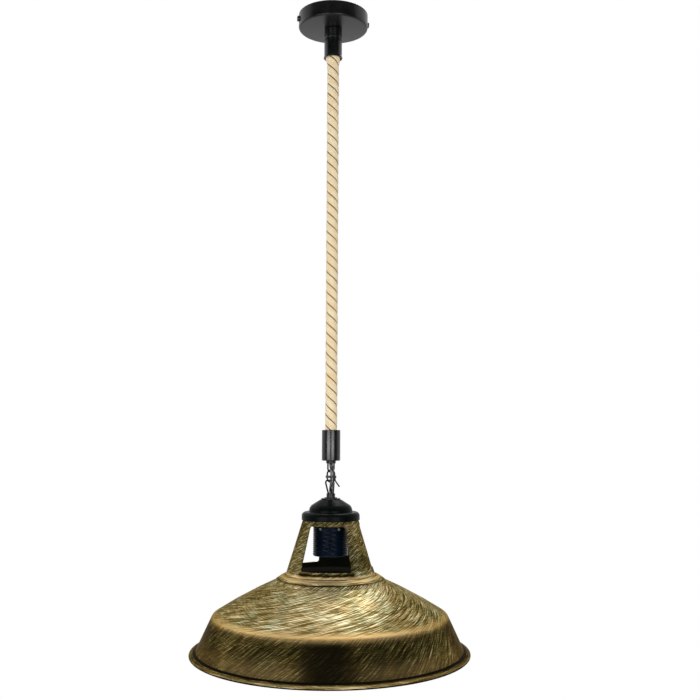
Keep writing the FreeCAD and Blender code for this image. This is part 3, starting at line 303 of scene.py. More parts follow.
def plain_finish(name, dark, light, grain, roughness, stretch=(1, 1, 1), spread=(0.3, 0.7), **sockets):
    """A finish of one colour that drifts a little with a grain of a size in mm, for small pieces of
    metal, plastic and ceramic."""
    material, tree, shader = new_material(name, **sockets)
    where = add(tree, "ShaderNodeTexCoord")
    lay = add(tree, "ShaderNodeMapping", {"Vector": (where, "Object"), "Scale": stretch})
    noise = add(tree, "ShaderNodeTexNoise", {"Vector": (lay, "Vector"), "Scale": per_mm(grain),
                                             "Detail": 4.0})
    tone = add(tree, "ShaderNodeValToRGB", {"Fac": (noise, "Fac")}, [(spread[0], dark), (spread[1], light)])
    gloss = add(tree, "ShaderNodeMapRange", {"Value": (noise, "Fac"), "To Min": roughness * 0.8,
                                             "To Max": roughness * 1.25})
    bump = add(tree, "ShaderNodeBump", {"Height": (noise, "Fac"), "Strength": 0.2, "Distance": 0.03 * MM})
    feed(shader, {"Base Color": (tone, "Color"), "Roughness": (gloss, "Result"), "Normal": (bump, "Normal")})
    return material


def core_insulation():
    """Coloured PVC on the cores: brown for live on the -X side, blue for neutral on the +X side."""
    material, tree, shader = new_material("pvc_core_brown_and_blue", Roughness=0.35)
    where = add(tree, "ShaderNodeTexCoord")
    split = add(tree, "ShaderNodeSeparateXYZ", {"Vector": (where, "Object")})
    side = add(tree, "ShaderNodeMath", {0: (split, "X"), 1: 1.0 * MM}, operation="GREATER_THAN")
    tone = add(tree, "ShaderNodeMix", {"Factor": (side, "Value"), "A": srgb("#4a2412"), "B": srgb("#1c4f93")},
               data_type="RGBA")
    feed(shader, {"Base Color": (tone, "Result")})
    return material


YARN_WIDTH = 1.6           # mm, of the yarns in a strand


def hemp():
    """Three-strand hemp rope: straw-coloured yarns laid the other way round in each strand, with
    painted shade between the strands, and loose ends that make it matt."""
    material, tree, shader = new_material("hemp_rope_laid", Roughness=0.9, Sheen_Weight=0.25)
    lay = add(tree, "ShaderNodeAttribute", attribute_name="lay")
    yarns = add(tree, "ShaderNodeTexWave", {"Vector": (lay, "Vector"), "Scale": 1 / YARN_WIDTH,
                                            "Distortion": 2.2, "Detail": 3.0, "Detail Scale": 1.4},
                wave_type="BANDS", bands_direction="X")
    thin = add(tree, "ShaderNodeMapping", {"Vector": (lay, "Vector"), "Scale": (2.6, 0.12, 1)})
    fibres = add(tree, "ShaderNodeTexNoise", {"Vector": (thin, "Vector"), "Scale": 1.0, "Detail": 6.0,
                                              "Roughness": 0.7})
    patch = add(tree, "ShaderNodeTexNoise", {"Vector": (lay, "Vector"), "Scale": 0.06, "Detail": 3.0})
    both = add(tree, "ShaderNodeMath", {0: (yarns, "Fac"), 1: (fibres, "Fac")}, operation="MULTIPLY")
    tone = add(tree, "ShaderNodeValToRGB", {"Fac": (both, "Value")},
               [(0.02, "#a08a60"), (0.13, "#ccb98c"), (0.30, "#e8dab8"), (0.8, "#f6eedb")])
    drift = add(tree, "ShaderNodeValToRGB", {"Fac": (patch, "Fac")}, [(0.35, "#fbefe0"), (0.65, "#ffffff")])
    tinted = add(tree, "ShaderNodeMix", {"Factor": 1.0, "A": (tone, "Color"), "B": (drift, "Color")},
                 data_type="RGBA", blend_type="MULTIPLY")
    # Painted shade: the yarns turn dark brown where they lie deep between two strands.
    groove_shade = add(tree, "ShaderNodeAttribute", attribute_name="groove_shade")
    depth = add(tree, "ShaderNodeMath", {0: (groove_shade, "Fac"), 1: (fibres, "Fac")}, operation="MULTIPLY")
    broken = add(tree, "ShaderNodeMapRange", {"Value": (depth, "Value"), "From Min": 0.1, "From Max": 0.38})
    shade = add(tree, "ShaderNodeMix", {"Factor": (broken, "Result"), "A": (tinted, "Result"),
                                        "B": srgb("#35240f")}, data_type="RGBA")
    bump = add(tree, "ShaderNodeBump", {"Height": (both, "Value"), "Strength": 0.8, "Distance": 0.35 * MM})
    feed(shader, {"Base Color": (shade, "Result"), "Normal": (bump, "Normal")})
    return material


def stroke_pattern(tree, attribute, angle, length, width, detail):
    """Brush strokes of a length and width in mm, at an angle to the zone's own strokes."""
    where = add(tree, "ShaderNodeAttribute", attribute_name=attribute)
    turn = add(tree, "ShaderNodeMapping", {"Vector": (where, "Vector"),
                                           "Rotation": (0, 0, math.radians(angle))})
    squeeze = add(tree, "ShaderNodeMapping", {"Vector": (turn, "Vector"),
                                              "Scale": (1 / length, 1 / width, 1)})
    return add(tree, "ShaderNodeTexNoise", {"Vector": (squeeze, "Vector"), "Scale": 1.0, "Detail": detail,
                                            "Roughness": 0.62, "Distortion": 0.15})


def antique_brass():
    """Brass plate, hand-brushed through a dark patina and lacquered: the strokes bare the metal in
    thin diagonal lines. The edges of the knee, the collar and the rim are the brightest, bare from
    rubbing and painted with highlights. How bare the brass looks, with the painted highlights and
    the painted shade added in, is a weighted sum of three layers of strokes, broad patches and the
    dark values painted on the shade, which are mostly painted shade."""
    material, tree, shader = new_material("antique_brass_hand_brushed", Metallic=0.9,
                                          Specular_Tint=srgb("#aea27a"))
    behind = add(tree, "ShaderNodeAttribute", attribute_name="behind")
    # wear holds edges bare from rubbing together with painted highlights; dark holds mostly painted shade.
    wear = add(tree, "ShaderNodeAttribute", attribute_name="wear")
    dark = add(tree, "ShaderNodeAttribute", attribute_name="dark")
    where = add(tree, "ShaderNodeTexCoord")
    layers = []
    for angle, length, width, detail in ((0, 34, 1.25, 3.5), (8, 18, 0.9, 3.0), (40, 14, 1.1, 3.0)):
        front, back = (stroke_pattern(tree, side, angle, length, width, detail)
                       for side in ("brush_front", "brush_back"))
        layers.append(add(tree, "ShaderNodeMix", {"Factor": (behind, "Fac"), "A": (front, "Fac"),
                                                  "B": (back, "Fac")}, data_type="FLOAT"))
    patch = add(tree, "ShaderNodeTexNoise", {"Vector": (where, "Object"), "Scale": per_mm(38.0),
                                             "Detail": 5.0})
    sums = [0.0]
    for source, share in (((layers[0], "Result"), 0.5), ((layers[1], "Result"), 0.3),
                          ((layers[2], "Result"), 0.2), ((patch, "Fac"), 0.15), ((dark, "Fac"), -0.13)):
        more = add(tree, "ShaderNodeMath", {0: source, 1: share, 2: sums[-1]}, operation="MULTIPLY_ADD")
        sums.append((more, "Value"))
    scratches, worn_and_painted_light = sums[2], sums[-1]
    tone = add(tree, "ShaderNodeValToRGB", {"Fac": worn_and_painted_light},
               [(0.44, "#171408"), (0.52, "#443c1d"), (0.59, "#84774f"), (0.69, "#ebe3c8")])
    cloud = add(tree, "ShaderNodeTexNoise", {"Vector": (where, "Object"), "Scale": per_mm(24.0),
                                             "Detail": 3.0})
    hue = add(tree, "ShaderNodeValToRGB", {"Fac": (cloud, "Fac")}, [(0.40, "#fff4e2"), (0.60, "#f4faf4")])
    tinted = add(tree, "ShaderNodeMix", {"Factor": 1.0, "A": (tone, "Color"), "B": (hue, "Color")},
                 data_type="RGBA", blend_type="MULTIPLY")
    bared = add(tree, "ShaderNodeMapRange", {"Value": worn_and_painted_light, "From Min": 0.46, "From Max": 0.66,
                                             "To Min": 0.55, "To Max": 1.05})
    # Bright bare brass where wear is high: edges bare from rubbing, and painted highlights on the knee, the
    # collar's ridges, the rim's crest and the skirt's foot.
    rubbed_and_highlit = add(tree, "ShaderNodeMath", {0: (bared, "Result"), 1: (wear, "Fac")}, operation="MULTIPLY")
    smooth = add(tree, "ShaderNodeMix", {"Factor": (rubbed_and_highlit, "Value"), "A": (tinted, "Result"),
                                         "B": srgb("#c4a36c")}, data_type="RGBA")
    # Near-black where the painted dark is deepest: painted shade in the seam, under the roll, below the
    # windows, on the skirt's front and in the collar's lower line.
    groove_shade = add(tree, "ShaderNodeMapRange", {"Value": (dark, "Fac"), "From Min": 0.85, "From Max": 1.0})
    shaded = add(tree, "ShaderNodeMix", {"Factor": (groove_shade, "Result"), "A": (smooth, "Result"),
                                         "B": srgb("#0c0905")}, data_type="RGBA")
    gloss = add(tree, "ShaderNodeMapRange", {"Value": worn_and_painted_light, "From Min": 0.45, "From Max": 0.7,
                                             "To Min": 0.5, "To Max": 0.36})
    bump = add(tree, "ShaderNodeBump", {"Height": scratches, "Strength": 0.35, "Distance": 0.12 * MM})
    feed(shader, {"Base Color": (shaded, "Result"), "Roughness": (gloss, "Result"),
                  "Normal": (bump, "Normal")})
    return material


ROSE_COAT = powder_coat("black_powder_coat_rose", "#0a0a0a", "#101111", 0.28, 0.27)
POWDER = powder_coat("black_powder_coat", "#070808", "#0e1010", 0.24, 0.45)
CAP_COAT = powder_coat("green_black_powder_coat", "#020504", "#060a09", 0.33, 0.04)
BAR = blackened_steel()
HEMP = hemp()
BRASS = antique_brass()
# Painted shade inside the shade: near-black with hardly any shine, which keeps the inside dark.
INSIDE = plain_finish("painted_shade_inside", "#040501", "#0c0e03", 14.0, 0.6, Specular_IOR_Level=0.02)
# Black PVC with light grey streaks along the flex, which are painted highlights.
SHEATH = plain_finish("pvc_flex_sheath", "#060606", "#77797a", 1.7, 0.3, (1, 1, 0.35), (0.47, 0.66))
# Smooth moulded plastics: the tie and the blue-black holder almost black, the terminal block cream.
NYLON = plain_finish("black_nylon_tie", "#101112", "#191a1b", 3.0, 0.45)
PHENOLIC = plain_finish("phenolic_moulding", "#020812", "#05101e", 6.0, 0.3, Specular_IOR_Level=0.10)
POLYAMIDE = plain_finish("polyamide_moulding", "#cfcbc0", "#dedbd2", 8.0, 0.5)
EARTH_PVC = plain_finish("pvc_core_green", "#4f7d1c", "#6f9a25", 3.0, 0.4)
CORES = core_insulation()
# Plated steel is grey and satin, pressed brass yellow and brighter, unglazed steatite chalky.
ZINC = plain_finish("zinc_plated_steel", "#9a9a94", "#c4c4bd", 4.0, 0.38, Metallic=1.0)
CONTACT_BRASS = plain_finish("pressed_brass", "#b08a42", "#d3ae64", 5.0, 0.3, Metallic=1.0)
STEATITE = plain_finish("steatite_ceramic", "#d5d0c4", "#e8e4da", 3.0, 0.65)


# The rope and the flex

ROPE_RADIUS = 7.0
ROPE_PITCH = 35.3          # length in which a strand goes once round
ROPE_STEP = 1.1            # between two rows of the strands
STRANDS = 3
STRAND_SIDES = 30
LOBE_OUT = 0.9             # of a strand's round outer side: its middle from the axis
GROOVE_START = 0.78        # share of the strand's half angle at which the painted shade between strands begins
GROOVE_WIDTH = 0.18        # share over which it gets dark
YARN_LEAN = 0.42           # mm across for a mm along the rope
STRAND_SHIFT = 40.0        # between the yarn patterns of two strands, so that they differ
MOUTH_SCALE = 1.24         # how much wider the rope is in the upper mouth than below it
MOUTH_RUN = 9.0            # length over which it narrows
FLEX_RADIUS = 2.15
TIE_HALF_WIDTH = 1.2
FIBRES = 900
FIBRE_RADIUS = 0.075
FIBRE_WAVE = 0.35          # how far a fibre waves sideways
ROUTE_STEPS = 24           # points of the smooth line for each control point
UPPER_MOUTH = levels("upper_ferrule")[1]
LOWER_MOUTH = levels("lower_ferrule")[0]
ROPE_TOP, ROPE_FOOT = levels("hemp_rope")

ROPE_ROUTE = [(0, 0, ROPE_TOP), (0, 0, UPPER_MOUTH), (0, 0, (UPPER_MOUTH + LOWER_MOUTH) / 2),
              (0, 0, LOWER_MOUTH), (0, 0, ROPE_FOOT)]

# The flex beside the chain, as drawn: out of the loop's collar, down in front of the link and
# back into the stud of the cap's loop.
FLEX_ROUTE = [(0, 0, -517.15), (-0.3, -0.3, -528.3), (1.3, -5.9, -534.7), (1.3, -5.9, -547.6),
              (-0.3, -0.3, -557.8), (0, 0, -580.9)]


def route(points):
    """Points in mm along a NURBS line of order 3 with a route's points as its control points."""
    curve = bpy.data.curves.new("route", "CURVE")
    curve.dimensions = "3D"
    spline = curve.splines.new("NURBS")
    spline.points.add(len(points) - 1)
    for point, at in zip(spline.points, points):
        point.co = (at[0] * MM, at[1] * MM, at[2] * MM, 1.0)
    spline.order_u = 3
    spline.use_endpoint_u = True
    spline.resolution_u = ROUTE_STEPS
    holder = in_scene("route", curve)
    line = bpy.data.meshes.new_from_object(holder)
    found = np.empty(len(line.vertices) * 3, np.float32)
    line.vertices.foreach_get("co", found)
    bpy.data.objects.remove(holder)
    bpy.data.curves.remove(curve)
    bpy.data.meshes.remove(line)
    return found.astype(float).reshape(-1, 3) / MM


def even(path, step):
    """The same line with points a step apart, by linear interpolation over its length, and how far
    along it each of them lies."""
    length = line_length(path)
    along = np.linspace(0, length[-1], int(length[-1] / step) + 1)
    return np.stack([np.interp(along, length, path[:, k]) for k in range(3)], axis=1), along


def rope_width(z):
    """The rope's width as a share: wide in the upper mouth, then narrowing along a cosine."""
    below = np.clip((UPPER_MOUTH - z) / MOUTH_RUN, 0, 1)
    return 1 + (MOUTH_SCALE - 1) * (1 + np.cos(math.pi * below)) / 2


def strand_section():
    """A strand's section in polar form about the rope's axis. Its outer side is a circle whose middle
    lies off the axis, between -60 and 60 degrees, and its inner side an arc round the flex. Both
    stop just short of the next strand. The groove value is 1 where two strands meet and inside,
    and the rope's material paints shade there."""
    half = math.pi / STRANDS
    angles = np.linspace(-half, half, STRAND_SIDES) * 0.995
    lobe = ROPE_RADIUS - LOBE_OUT
    outer = LOBE_OUT * np.cos(angles) + np.sqrt(lobe ** 2 - (LOBE_OUT * np.sin(angles)) ** 2)
    back = np.linspace(half, -half, STRAND_SIDES // 3) * 0.98
    inner = np.full(len(back), FLEX_RADIUS + TOUCH)
    groove_shade = np.clip((np.abs(angles) / half - GROOVE_START) / GROOVE_WIDTH, 0, 1)
    return (np.concatenate([angles, back]), np.concatenate([outer, inner]),
            np.concatenate([groove_shade, np.ones(len(back))]))


def bend_at_mouth(piece):
    """The piece's transform is put into its mesh."""
    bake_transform(piece)


def make_rope():
    """Each strand's section turns about the route as it goes down: angle = place - 2 pi z / pitch,
    radius = section times width(z) times a slow and a quick unevenness. lay holds the place across
    and along the yarns in mm, groove how deep a point lies between two strands, which the rope's
    material paints as shade."""
    path, along = even(route(ROPE_ROUTE), ROPE_STEP)
    angles, radii, groove_shade = strand_section()
    parts, lays, grooves = [], [], []
    for strand in range(STRANDS):
        turn = 2 * math.pi * strand / STRANDS - 2 * math.pi * path[:, 2] / ROPE_PITCH
        uneven = 1 + 0.012 * np.sin(along / 11 + 2 * strand) + 0.01 * np.sin(along / 4.3 + strand)
        r = radii[None, :] * (rope_width(path[:, 2]) * uneven)[:, None]
        a = angles[None, :] + turn[:, None]
        grid = np.stack([path[:, 0:1] + r * np.cos(a), path[:, 1:2] + r * np.sin(a),
                         path[:, 2:3] + 0 * r], axis=2)
        parts.append(outward(*skin(grid)))
        across = np.broadcast_to(angles * ROPE_RADIUS * 1.1, r.shape)
        down = np.broadcast_to(along[:, None], r.shape)
        lay = np.stack([across + YARN_LEAN * down + STRAND_SHIFT * strand, down - YARN_LEAN * across,
                        0 * down], axis=2)
        lays.append(np.concatenate([lay.reshape(-1, 3), np.zeros((2, 3))]))
        grooves.append(np.concatenate([np.broadcast_to(groove_shade, r.shape).ravel(), [1, 1]]))
    rope = mesh_piece("rope", joined(*parts), HEMP, 60.0,
                      {"lay": np.concatenate(lays), "groove_shade": np.concatenate(grooves)})
    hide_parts("hemp_rope")
    bend_at_mouth(rope)


def make_rope_fibres():
    """Loose hemp fibres: each a three-sided hair along a short arc that leaves the rope's surface,
    point = foot + length * (t * along + rise * t squared * outwards) + wave * sin(3 t + angle)
    sideways, and thinner towards its tip by radius * (1 - 0.75 t)."""
    draw = np.random.default_rng(7)
    z = draw.uniform(LOWER_MOUTH + 2, UPPER_MOUTH - 8, FIBRES)
    a = draw.uniform(0, 2 * math.pi, FIBRES)
    out = np.stack([np.cos(a), np.sin(a), 0 * a], axis=1)
    sideways = np.stack([-np.sin(a), np.cos(a), 0 * a], axis=1)
    along = np.array([0, 0, -1.0]) + draw.normal(0, 0.6, FIBRES)[:, None] * sideways
    along /= np.linalg.norm(along, axis=1, keepdims=True)
    length = draw.uniform(2.0, 5.5, FIBRES)[:, None, None]
    rise = draw.uniform(0.1, 0.42, FIBRES)[:, None, None]
    t = np.linspace(0, 1, 5)[None, :, None]
    foot = out * (ROPE_RADIUS - 0.7) + np.stack([0 * z, 0 * z, z], axis=1)
    line = foot[:, None, :] + length * (t * along[:, None, :] + rise * t ** 2 * out[:, None, :])
    line += FIBRE_WAVE * np.sin(3 * t + a[:, None, None]) * sideways[:, None, :]
    corner = circle(1.0, 3)
    ring = corner[:, 0:1] * out[:, None, None, :] + corner[:, 1:2] * sideways[:, None, None, :]
    hairs = line[:, :, None, :] + FIBRE_RADIUS * (1 - 0.75 * t[..., None]) * ring
    points = np.concatenate([hairs.reshape(FIBRES, -1, 3), hairs[:, [0, -1]].mean(axis=2)], axis=1)
    faces = skin(hairs[0])[1] + points.shape[1] * np.arange(FIBRES)[:, None, None]
    fibres = mesh_piece("rope_fibres", (points.reshape(-1, 3), faces.reshape(-1, 4)), HEMP, 180.0)
    bend_at_mouth(fibres)


def flex_piece(name, path, sides, node):
    """A length of flex: a circle carried along a path."""
    piece = mesh_piece(name, outward(*skin(sweep(path, circle(FLEX_RADIUS, sides), (1, 0, 0)))), SHEATH)
    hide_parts(node)
    return piece


def make_flex():
    """The flex in the rope, and the flex beside the chain in two lengths that meet at the cable tie."""
    top, foot = levels("rope_flex")
    z = np.linspace(top, foot, 80)
    straight = np.stack([np.zeros_like(z), np.zeros_like(z), z], axis=1)
    bend_at_mouth(flex_piece("flex_in_rope", straight, 20, "rope_flex"))

    path, _ = even(turned(route(FLEX_ROUTE), FACING), 0.6)
    meet = levels("cable_tie")[0] - TIE_HALF_WIDTH
    upper = flex_piece("flex_drop_upper", path[path[:, 2] > meet - TOUCH], 28, "flex_drop")
    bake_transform(upper)
    lower = flex_piece("flex_drop_lower", path[path[:, 2] < meet + TOUCH], 28, "flex_drop")
    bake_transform(lower)


make_rope()
make_rope_fibres()
make_flex()


# Ceiling end and ferrules

ROSE_EDGE = 2.4            # rounding of the rose's lower edge
LIP_SPREAD = 0.55          # that the mouth of the upper ferrule is flared
LIP_HEIGHT = 2.4           # of the flare
FERRULE_END = 4.0          # thickness of a ferrule's closed end


def ring_piece(node, corners, finish, body, sides=96):
    """A turned piece: a surface of revolution of a closed list of (r, z, rounding) corners."""
    shape = outward(*skin(spin(rounded(corners), sides), wrap_rows=True))
    place(mesh_piece(node + "_turned", shape, finish), body, "black_steel", node)


def make_rose():
    """The rose, a shallow cup that is open upwards, and the short coupling of its stem below it."""
    top, floor = levels("rose_cup")
    radius = radius_of("rose_cup")
    inner, inner_floor = radius - SHEET, floor + SHEET
    corners = [(STUD_HOLE, floor, 0), (radius, floor, ROSE_EDGE), (radius, top, 0.35), (inner, top, 0.35),
               (inner, inner_floor, ROSE_EDGE - SHEET), (STUD_HOLE, inner_floor, 0)]
    ring_piece("rose_cup", corners, ROSE_COAT, "root", sides=144)
    top, foot = levels("stem_coupling")
    radius = radius_of("stem_coupling")
    corners = [(STUD_HOLE, foot, 0), (radius, foot, 0.9), (radius, top, 0.9), (STUD_HOLE, top, 0)]
    ring_piece("stem_coupling", corners, POWDER, "root")


def make_ferrules():
    """Two cups, the upper one open downwards with a flared lip, the lower one open upwards."""
    top, mouth = levels("upper_ferrule")
    lip = radius_of("upper_ferrule")
    outer = lip - LIP_SPREAD
    corners = [(STUD_HOLE, top, 0), (outer, top, 0.8), (outer, mouth + LIP_HEIGHT, 2.0),
               (lip, mouth + LIP_HEIGHT / 2, 0.5), (lip, mouth, 0.35), (outer - SHEET, mouth, 0.4),
               (outer - SHEET, top - FERRULE_END, 1.0), (STUD_HOLE, top - FERRULE_END, 0)]
    ring_piece("upper_ferrule", corners, POWDER, "root")
    mouth, foot = levels("lower_ferrule")
    outer = radius_of("lower_ferrule")
    corners = [(STUD_HOLE, foot, 0), (outer, foot, 0.9), (outer, mouth, 0.5), (outer - SHEET, mouth, 0.4),
               (outer - SHEET, foot + FERRULE_END, 1.0), (STUD_HOLE, foot + FERRULE_END, 0)]
    ring_piece("lower_ferrule", corners, POWDER, "rope_drop")


make_rose()
make_ferrules()


# Loops and link

BAR_RADIUS = 0.95
BAR_SIDES = 20
BAR_SINK = 0.4             # how far the lower loop's bar reaches into its collar
LOOP_BORE = 3.05
LOOP_HALF_WIDTH = 4.4
LINK_HALF_WIDTH = 4.3
ARC_SPARE = 0.01           # that a half circle's rounding stays under half the width
WELD_SWELL = 0.12          # share by which the link is thicker at its weld
WELD_SPREAD = 0.8          # square mm, over which that fades
LOOP_COLLAR_RADIUS = 5.5
LOOP_COLLAR_HEIGHT = 3.2
STUD_RADIUS = 4.9
CAP_COLLAR_TOP = -560.7
CAP_LOOP_LEFT = 8.2        # how far the bow's two upper corners lie from the axis
CAP_LOOP_RIGHT = 4.6
CAP_LOOP_FOOT = 3.45       # and its two ends


def upright(line):
    """A line of (x, z) points in the plane y = 0."""
    return np.stack([line[:, 0], np.zeros(len(line)), line[:, 1]], axis=1)


def bar(line):
    """Round bar along an open line of (x, z) points."""
    return outward(*skin(sweep(upright(line), circle(BAR_RADIUS, BAR_SIDES), (0, 1, 0))))


def bored(corners):
    """A bored collar or stud: a surface of revolution of a closed list of corners."""
    return outward(*skin(spin(rounded(corners), 64), wrap_rows=True))


def bent_piece(node, shape, turn, body):
    """A piece of bent bar, turned into its plane about the pendant's axis."""
    points, faces = shape
    place(mesh_piece(node + "_bent", (turned(points, turn + FACING), faces), BAR), body, "black_steel", node)


def make_lower_loop():
    """A U of round bar, rounded to a half circle, on a collar with a bored stud."""
    top, low = levels("lower_loop")
    ferrule_foot = levels("lower_ferrule")[1]
    collar_foot = ferrule_foot - LOOP_COLLAR_HEIGHT
    collar = bored([(LOOP_BORE, top, 0.3), (STUD_RADIUS, top, 0.4), (STUD_RADIUS, ferrule_foot, 0),
                    (LOOP_COLLAR_RADIUS, ferrule_foot, 0.4), (LOOP_COLLAR_RADIUS, collar_foot, 0.7),
                    (LOOP_BORE, collar_foot, 0.4)])
    half, start, bar_level = LOOP_HALF_WIDTH, collar_foot + BAR_SINK, low + BAR_RADIUS
    line = rounded([(-half, start, 0), (-half, bar_level, half - ARC_SPARE),
                    (half, bar_level, half - ARC_SPARE), (half, start, 0)], closed=False, step=6)
    bent_piece("lower_loop", joined(collar, bar(line)), CHAIN_TURN, "rope_drop")


def make_link():
    """A closed link of round bar: two half circles and two straights. The bar's radius grows at the
    weld by a share times e to the power of minus the square of the distance over the spread."""
    top, foot = levels("chain_link")
    high, low, half = top - BAR_RADIUS, foot + BAR_RADIUS, LINK_HALF_WIDTH
    ends = ((-half, high), (half, high), (half, low), (-half, low))
    line = rounded([(x, z, half - ARC_SPARE) for x, z in ends], step=5)
    weld = np.exp(-((line[:, 0] - half) ** 2 + (line[:, 1] - (high + low) / 2) ** 2) / WELD_SPREAD)
    section = circle(1.0, BAR_SIDES)[None] * (BAR_RADIUS * (1 + WELD_SWELL * weld))[:, None, None]
    shape = outward(*skin(sweep(upright(line), section, (0, 1, 0), closed=True), wrap_rows=True))
    bent_piece("chain_link", shape, LINK_TURN, "link")


def make_cap_loop():
    """A bow of round bar, bent over to one side, on the stud that carries cap and holder."""
    top, foot = levels("cap_loop")
    stud = bored([(LOOP_BORE, foot, 0.3), (STUD_RADIUS, foot, 0.3), (STUD_RADIUS, CAP_COLLAR_TOP, 0.8),
                  (LOOP_BORE, CAP_COLLAR_TOP, 0.4)])
    low, bar_level = CAP_COLLAR_TOP - BAR_RADIUS, top - BAR_RADIUS
    line = rounded([(-CAP_LOOP_FOOT, low, 0), (-CAP_LOOP_LEFT, bar_level, CAP_LOOP_LEFT * 0.3),
                    (CAP_LOOP_RIGHT, bar_level, CAP_LOOP_RIGHT * 0.8), (CAP_LOOP_FOOT, low, 0)],
                   closed=False, step=6)
    bent_piece("cap_loop", joined(stud, bar(line)), CHAIN_TURN, "shade_group")


make_lower_loop()
make_link()
make_cap_loop()


# Cap, washers and holder

CAP_FLAT = 11.0            # radius of the flat on top of the dome
CAP_DOME = 24.5            # radius of the dome's side
CAP_SLOPE = 8.4            # from the flat down to the side
CAP_HEIGHT = 14.0          # from the flat down to the flange
WASHERS = {"small_washer": 7.25, "large_washer": 10.85}

SKIRT_SHOULDER = 23.4      # radius of the holder's shoulder
SKIRT_BARREL = 19.9        # of its threaded barrel outside
SKIRT_BORE = 17.4          # and inside
SKIRT_MOUTH = 14.4         # and of the opening at its foot
SHOULDER_HEIGHT = 3.2
MOUTH_HEIGHT = 2.0         # of the ledge round the opening
THREAD_PITCH = 2.25
THREAD_DEPTH = 1.2
THREAD_ROWS = 150
PLAIN_TOP = 4.4            # of the barrel above the thread
PLAIN_FOOT = 1.2           # and below it

SHELL_RADIUS = 13.9
SHELL_WALL = 0.35
SHELL_WAVE = 0.85          # depth of the lamp's rolled thread
SHELL_PITCH = 3.63
SHELL_MOUTH = 5.6          # plain height below the thread


def inner_side(line, wall):
    """The other side of a bent sheet: the line moved by one wall to its right hand."""
    along = np.gradient(line, axis=0)
    along /= np.linalg.norm(along, axis=1, keepdims=True)
    return line + wall * np.stack([along[:, 1], -along[:, 0]], axis=1)


def make_cap():
    """The cap: a dome with a rounded flange, pressed from sheet. It is a surface of revolution of a
    line from the hole over the flat and down the side, and back one wall further in."""
    top, foot = levels("cap")
    flange, ledge = radius_of("cap"), top - CAP_HEIGHT
    outer = rounded([(STUD_HOLE, top, 0), (CAP_FLAT, top, CAP_FLAT * 2 / 3),
                     (CAP_DOME, top - CAP_SLOPE, CAP_SLOPE), (CAP_DOME, ledge, 0.6),
                     (flange, ledge, (ledge - foot) / 2), (flange, foot, 0)], closed=False, step=8)
    section = np.concatenate([outer, inner_side(outer, SHEET)[::-1]])
    shape = outward(*skin(spin(section, 128), wrap_rows=True))
    place(mesh_piece("cap_pressed", shape, CAP_COAT), "shade_group", "black_steel", "cap")


def make_washers():
    """Two flat rings on the stud, with their upper edge broken."""
    hole = STUD_RADIUS + TOUCH
    for node, radius in WASHERS.items():
        top, foot = levels(node)
        corners = [(hole, foot, 0.1), (radius, foot, 0.15), (radius, top, 0.4), (hole, top, 0.3)]
        ring_piece(node, corners, BAR, "shade_group")


def make_skirt():
    """The holder's barrel. Its rows follow a closed profile, and the rows of its outer side have a
    helical thread: r is lower by depth times a clipped triangle wave of z / pitch + angle / 360,
    which fades in over one pitch at each end."""
    top, foot = levels("holder_skirt")
    ledge = top - SHOULDER_HEIGHT
    head = rounded([(SKIRT_BORE, top, 0), (SKIRT_SHOULDER, top, 0.4), (SKIRT_SHOULDER, ledge, 0.3),
                    (SKIRT_BARREL, ledge, 0)], closed=False)[:-1]
    z = np.linspace(ledge - 0.3, foot + PLAIN_FOOT, THREAD_ROWS)
    thread = np.stack([np.full(THREAD_ROWS, SKIRT_BARREL), z], axis=1)
    tail = rounded([(SKIRT_BARREL - 0.7, foot, 0.2), (SKIRT_MOUTH, foot, 0.3),
                    (SKIRT_MOUTH, foot + MOUTH_HEIGHT, 0.3), (SKIRT_BORE, foot + MOUTH_HEIGHT, 0)],
                   closed=False)
    profile = np.concatenate([head, thread, tail])
    grid = spin(profile, 120)
    angle = np.linspace(0, 1, 120, endpoint=False)[None, :]
    z = profile[:, 1:2]
    wave = np.clip(np.abs(((z / THREAD_PITCH + angle) % 1) * 2 - 1) * 2.2 - 0.6, 0, 1)
    fade_in = np.clip((ledge - PLAIN_TOP - z) / THREAD_PITCH, 0, 1)
    fade_out = np.clip((z - foot - PLAIN_FOOT) / THREAD_PITCH, 0, 1)
    row = np.arange(len(profile))[:, None]
    on_barrel = (row >= len(head)) & (row < len(head) + THREAD_ROWS)
    cut = THREAD_DEPTH * wave * fade_in * fade_out * on_barrel
    grid[:, :, :2] *= (1 - cut / profile[:, 0:1])[:, :, None]
    shape = outward(*skin(grid, wrap_rows=True))
    skirt = mesh_piece("holder_skirt_threaded", shape, PHENOLIC)
    place(skirt, "shade_group", "holder_plastic", "holder_skirt")


def make_shell():
    """The brass screw shell under its plate: r = outer radius less half the wave times one minus
    the cosine of the lamp thread's own turn, with a plain mouth, and the same one wall further in."""
    top, foot = levels("screw_shell")
    z = np.linspace(top, foot, 90)[:, None]
    angle = np.linspace(0, 1, 96, endpoint=False)[None, :]
    fade_in = np.clip((top - z) / SHELL_PITCH, 0, 1)
    fade_out = np.clip((z - foot - SHELL_MOUTH) / SHELL_PITCH, 0, 1)
    turn = 2 * math.pi * (z / SHELL_PITCH + angle)
    r = SHELL_RADIUS - SHELL_WAVE / 2 * (1 - np.cos(turn)) * fade_in * fade_out
    a = 2 * math.pi * angle
    outer, inner = (np.stack([(r - inset) * np.cos(a), (r - inset) * np.sin(a), z + 0 * a], axis=2)
                    for inset in (0.0, SHELL_WALL))
    shape = outward(*skin(np.concatenate([outer, inner[::-1]]), wrap_rows=True))
    shell = mesh_piece("screw_shell_rolled", shape, CONTACT_BRASS)
    place(shell, "shade_group", "bright_brass", "screw_shell")


make_cap()
make_washers()
make_skirt()
make_shell()


# Shade

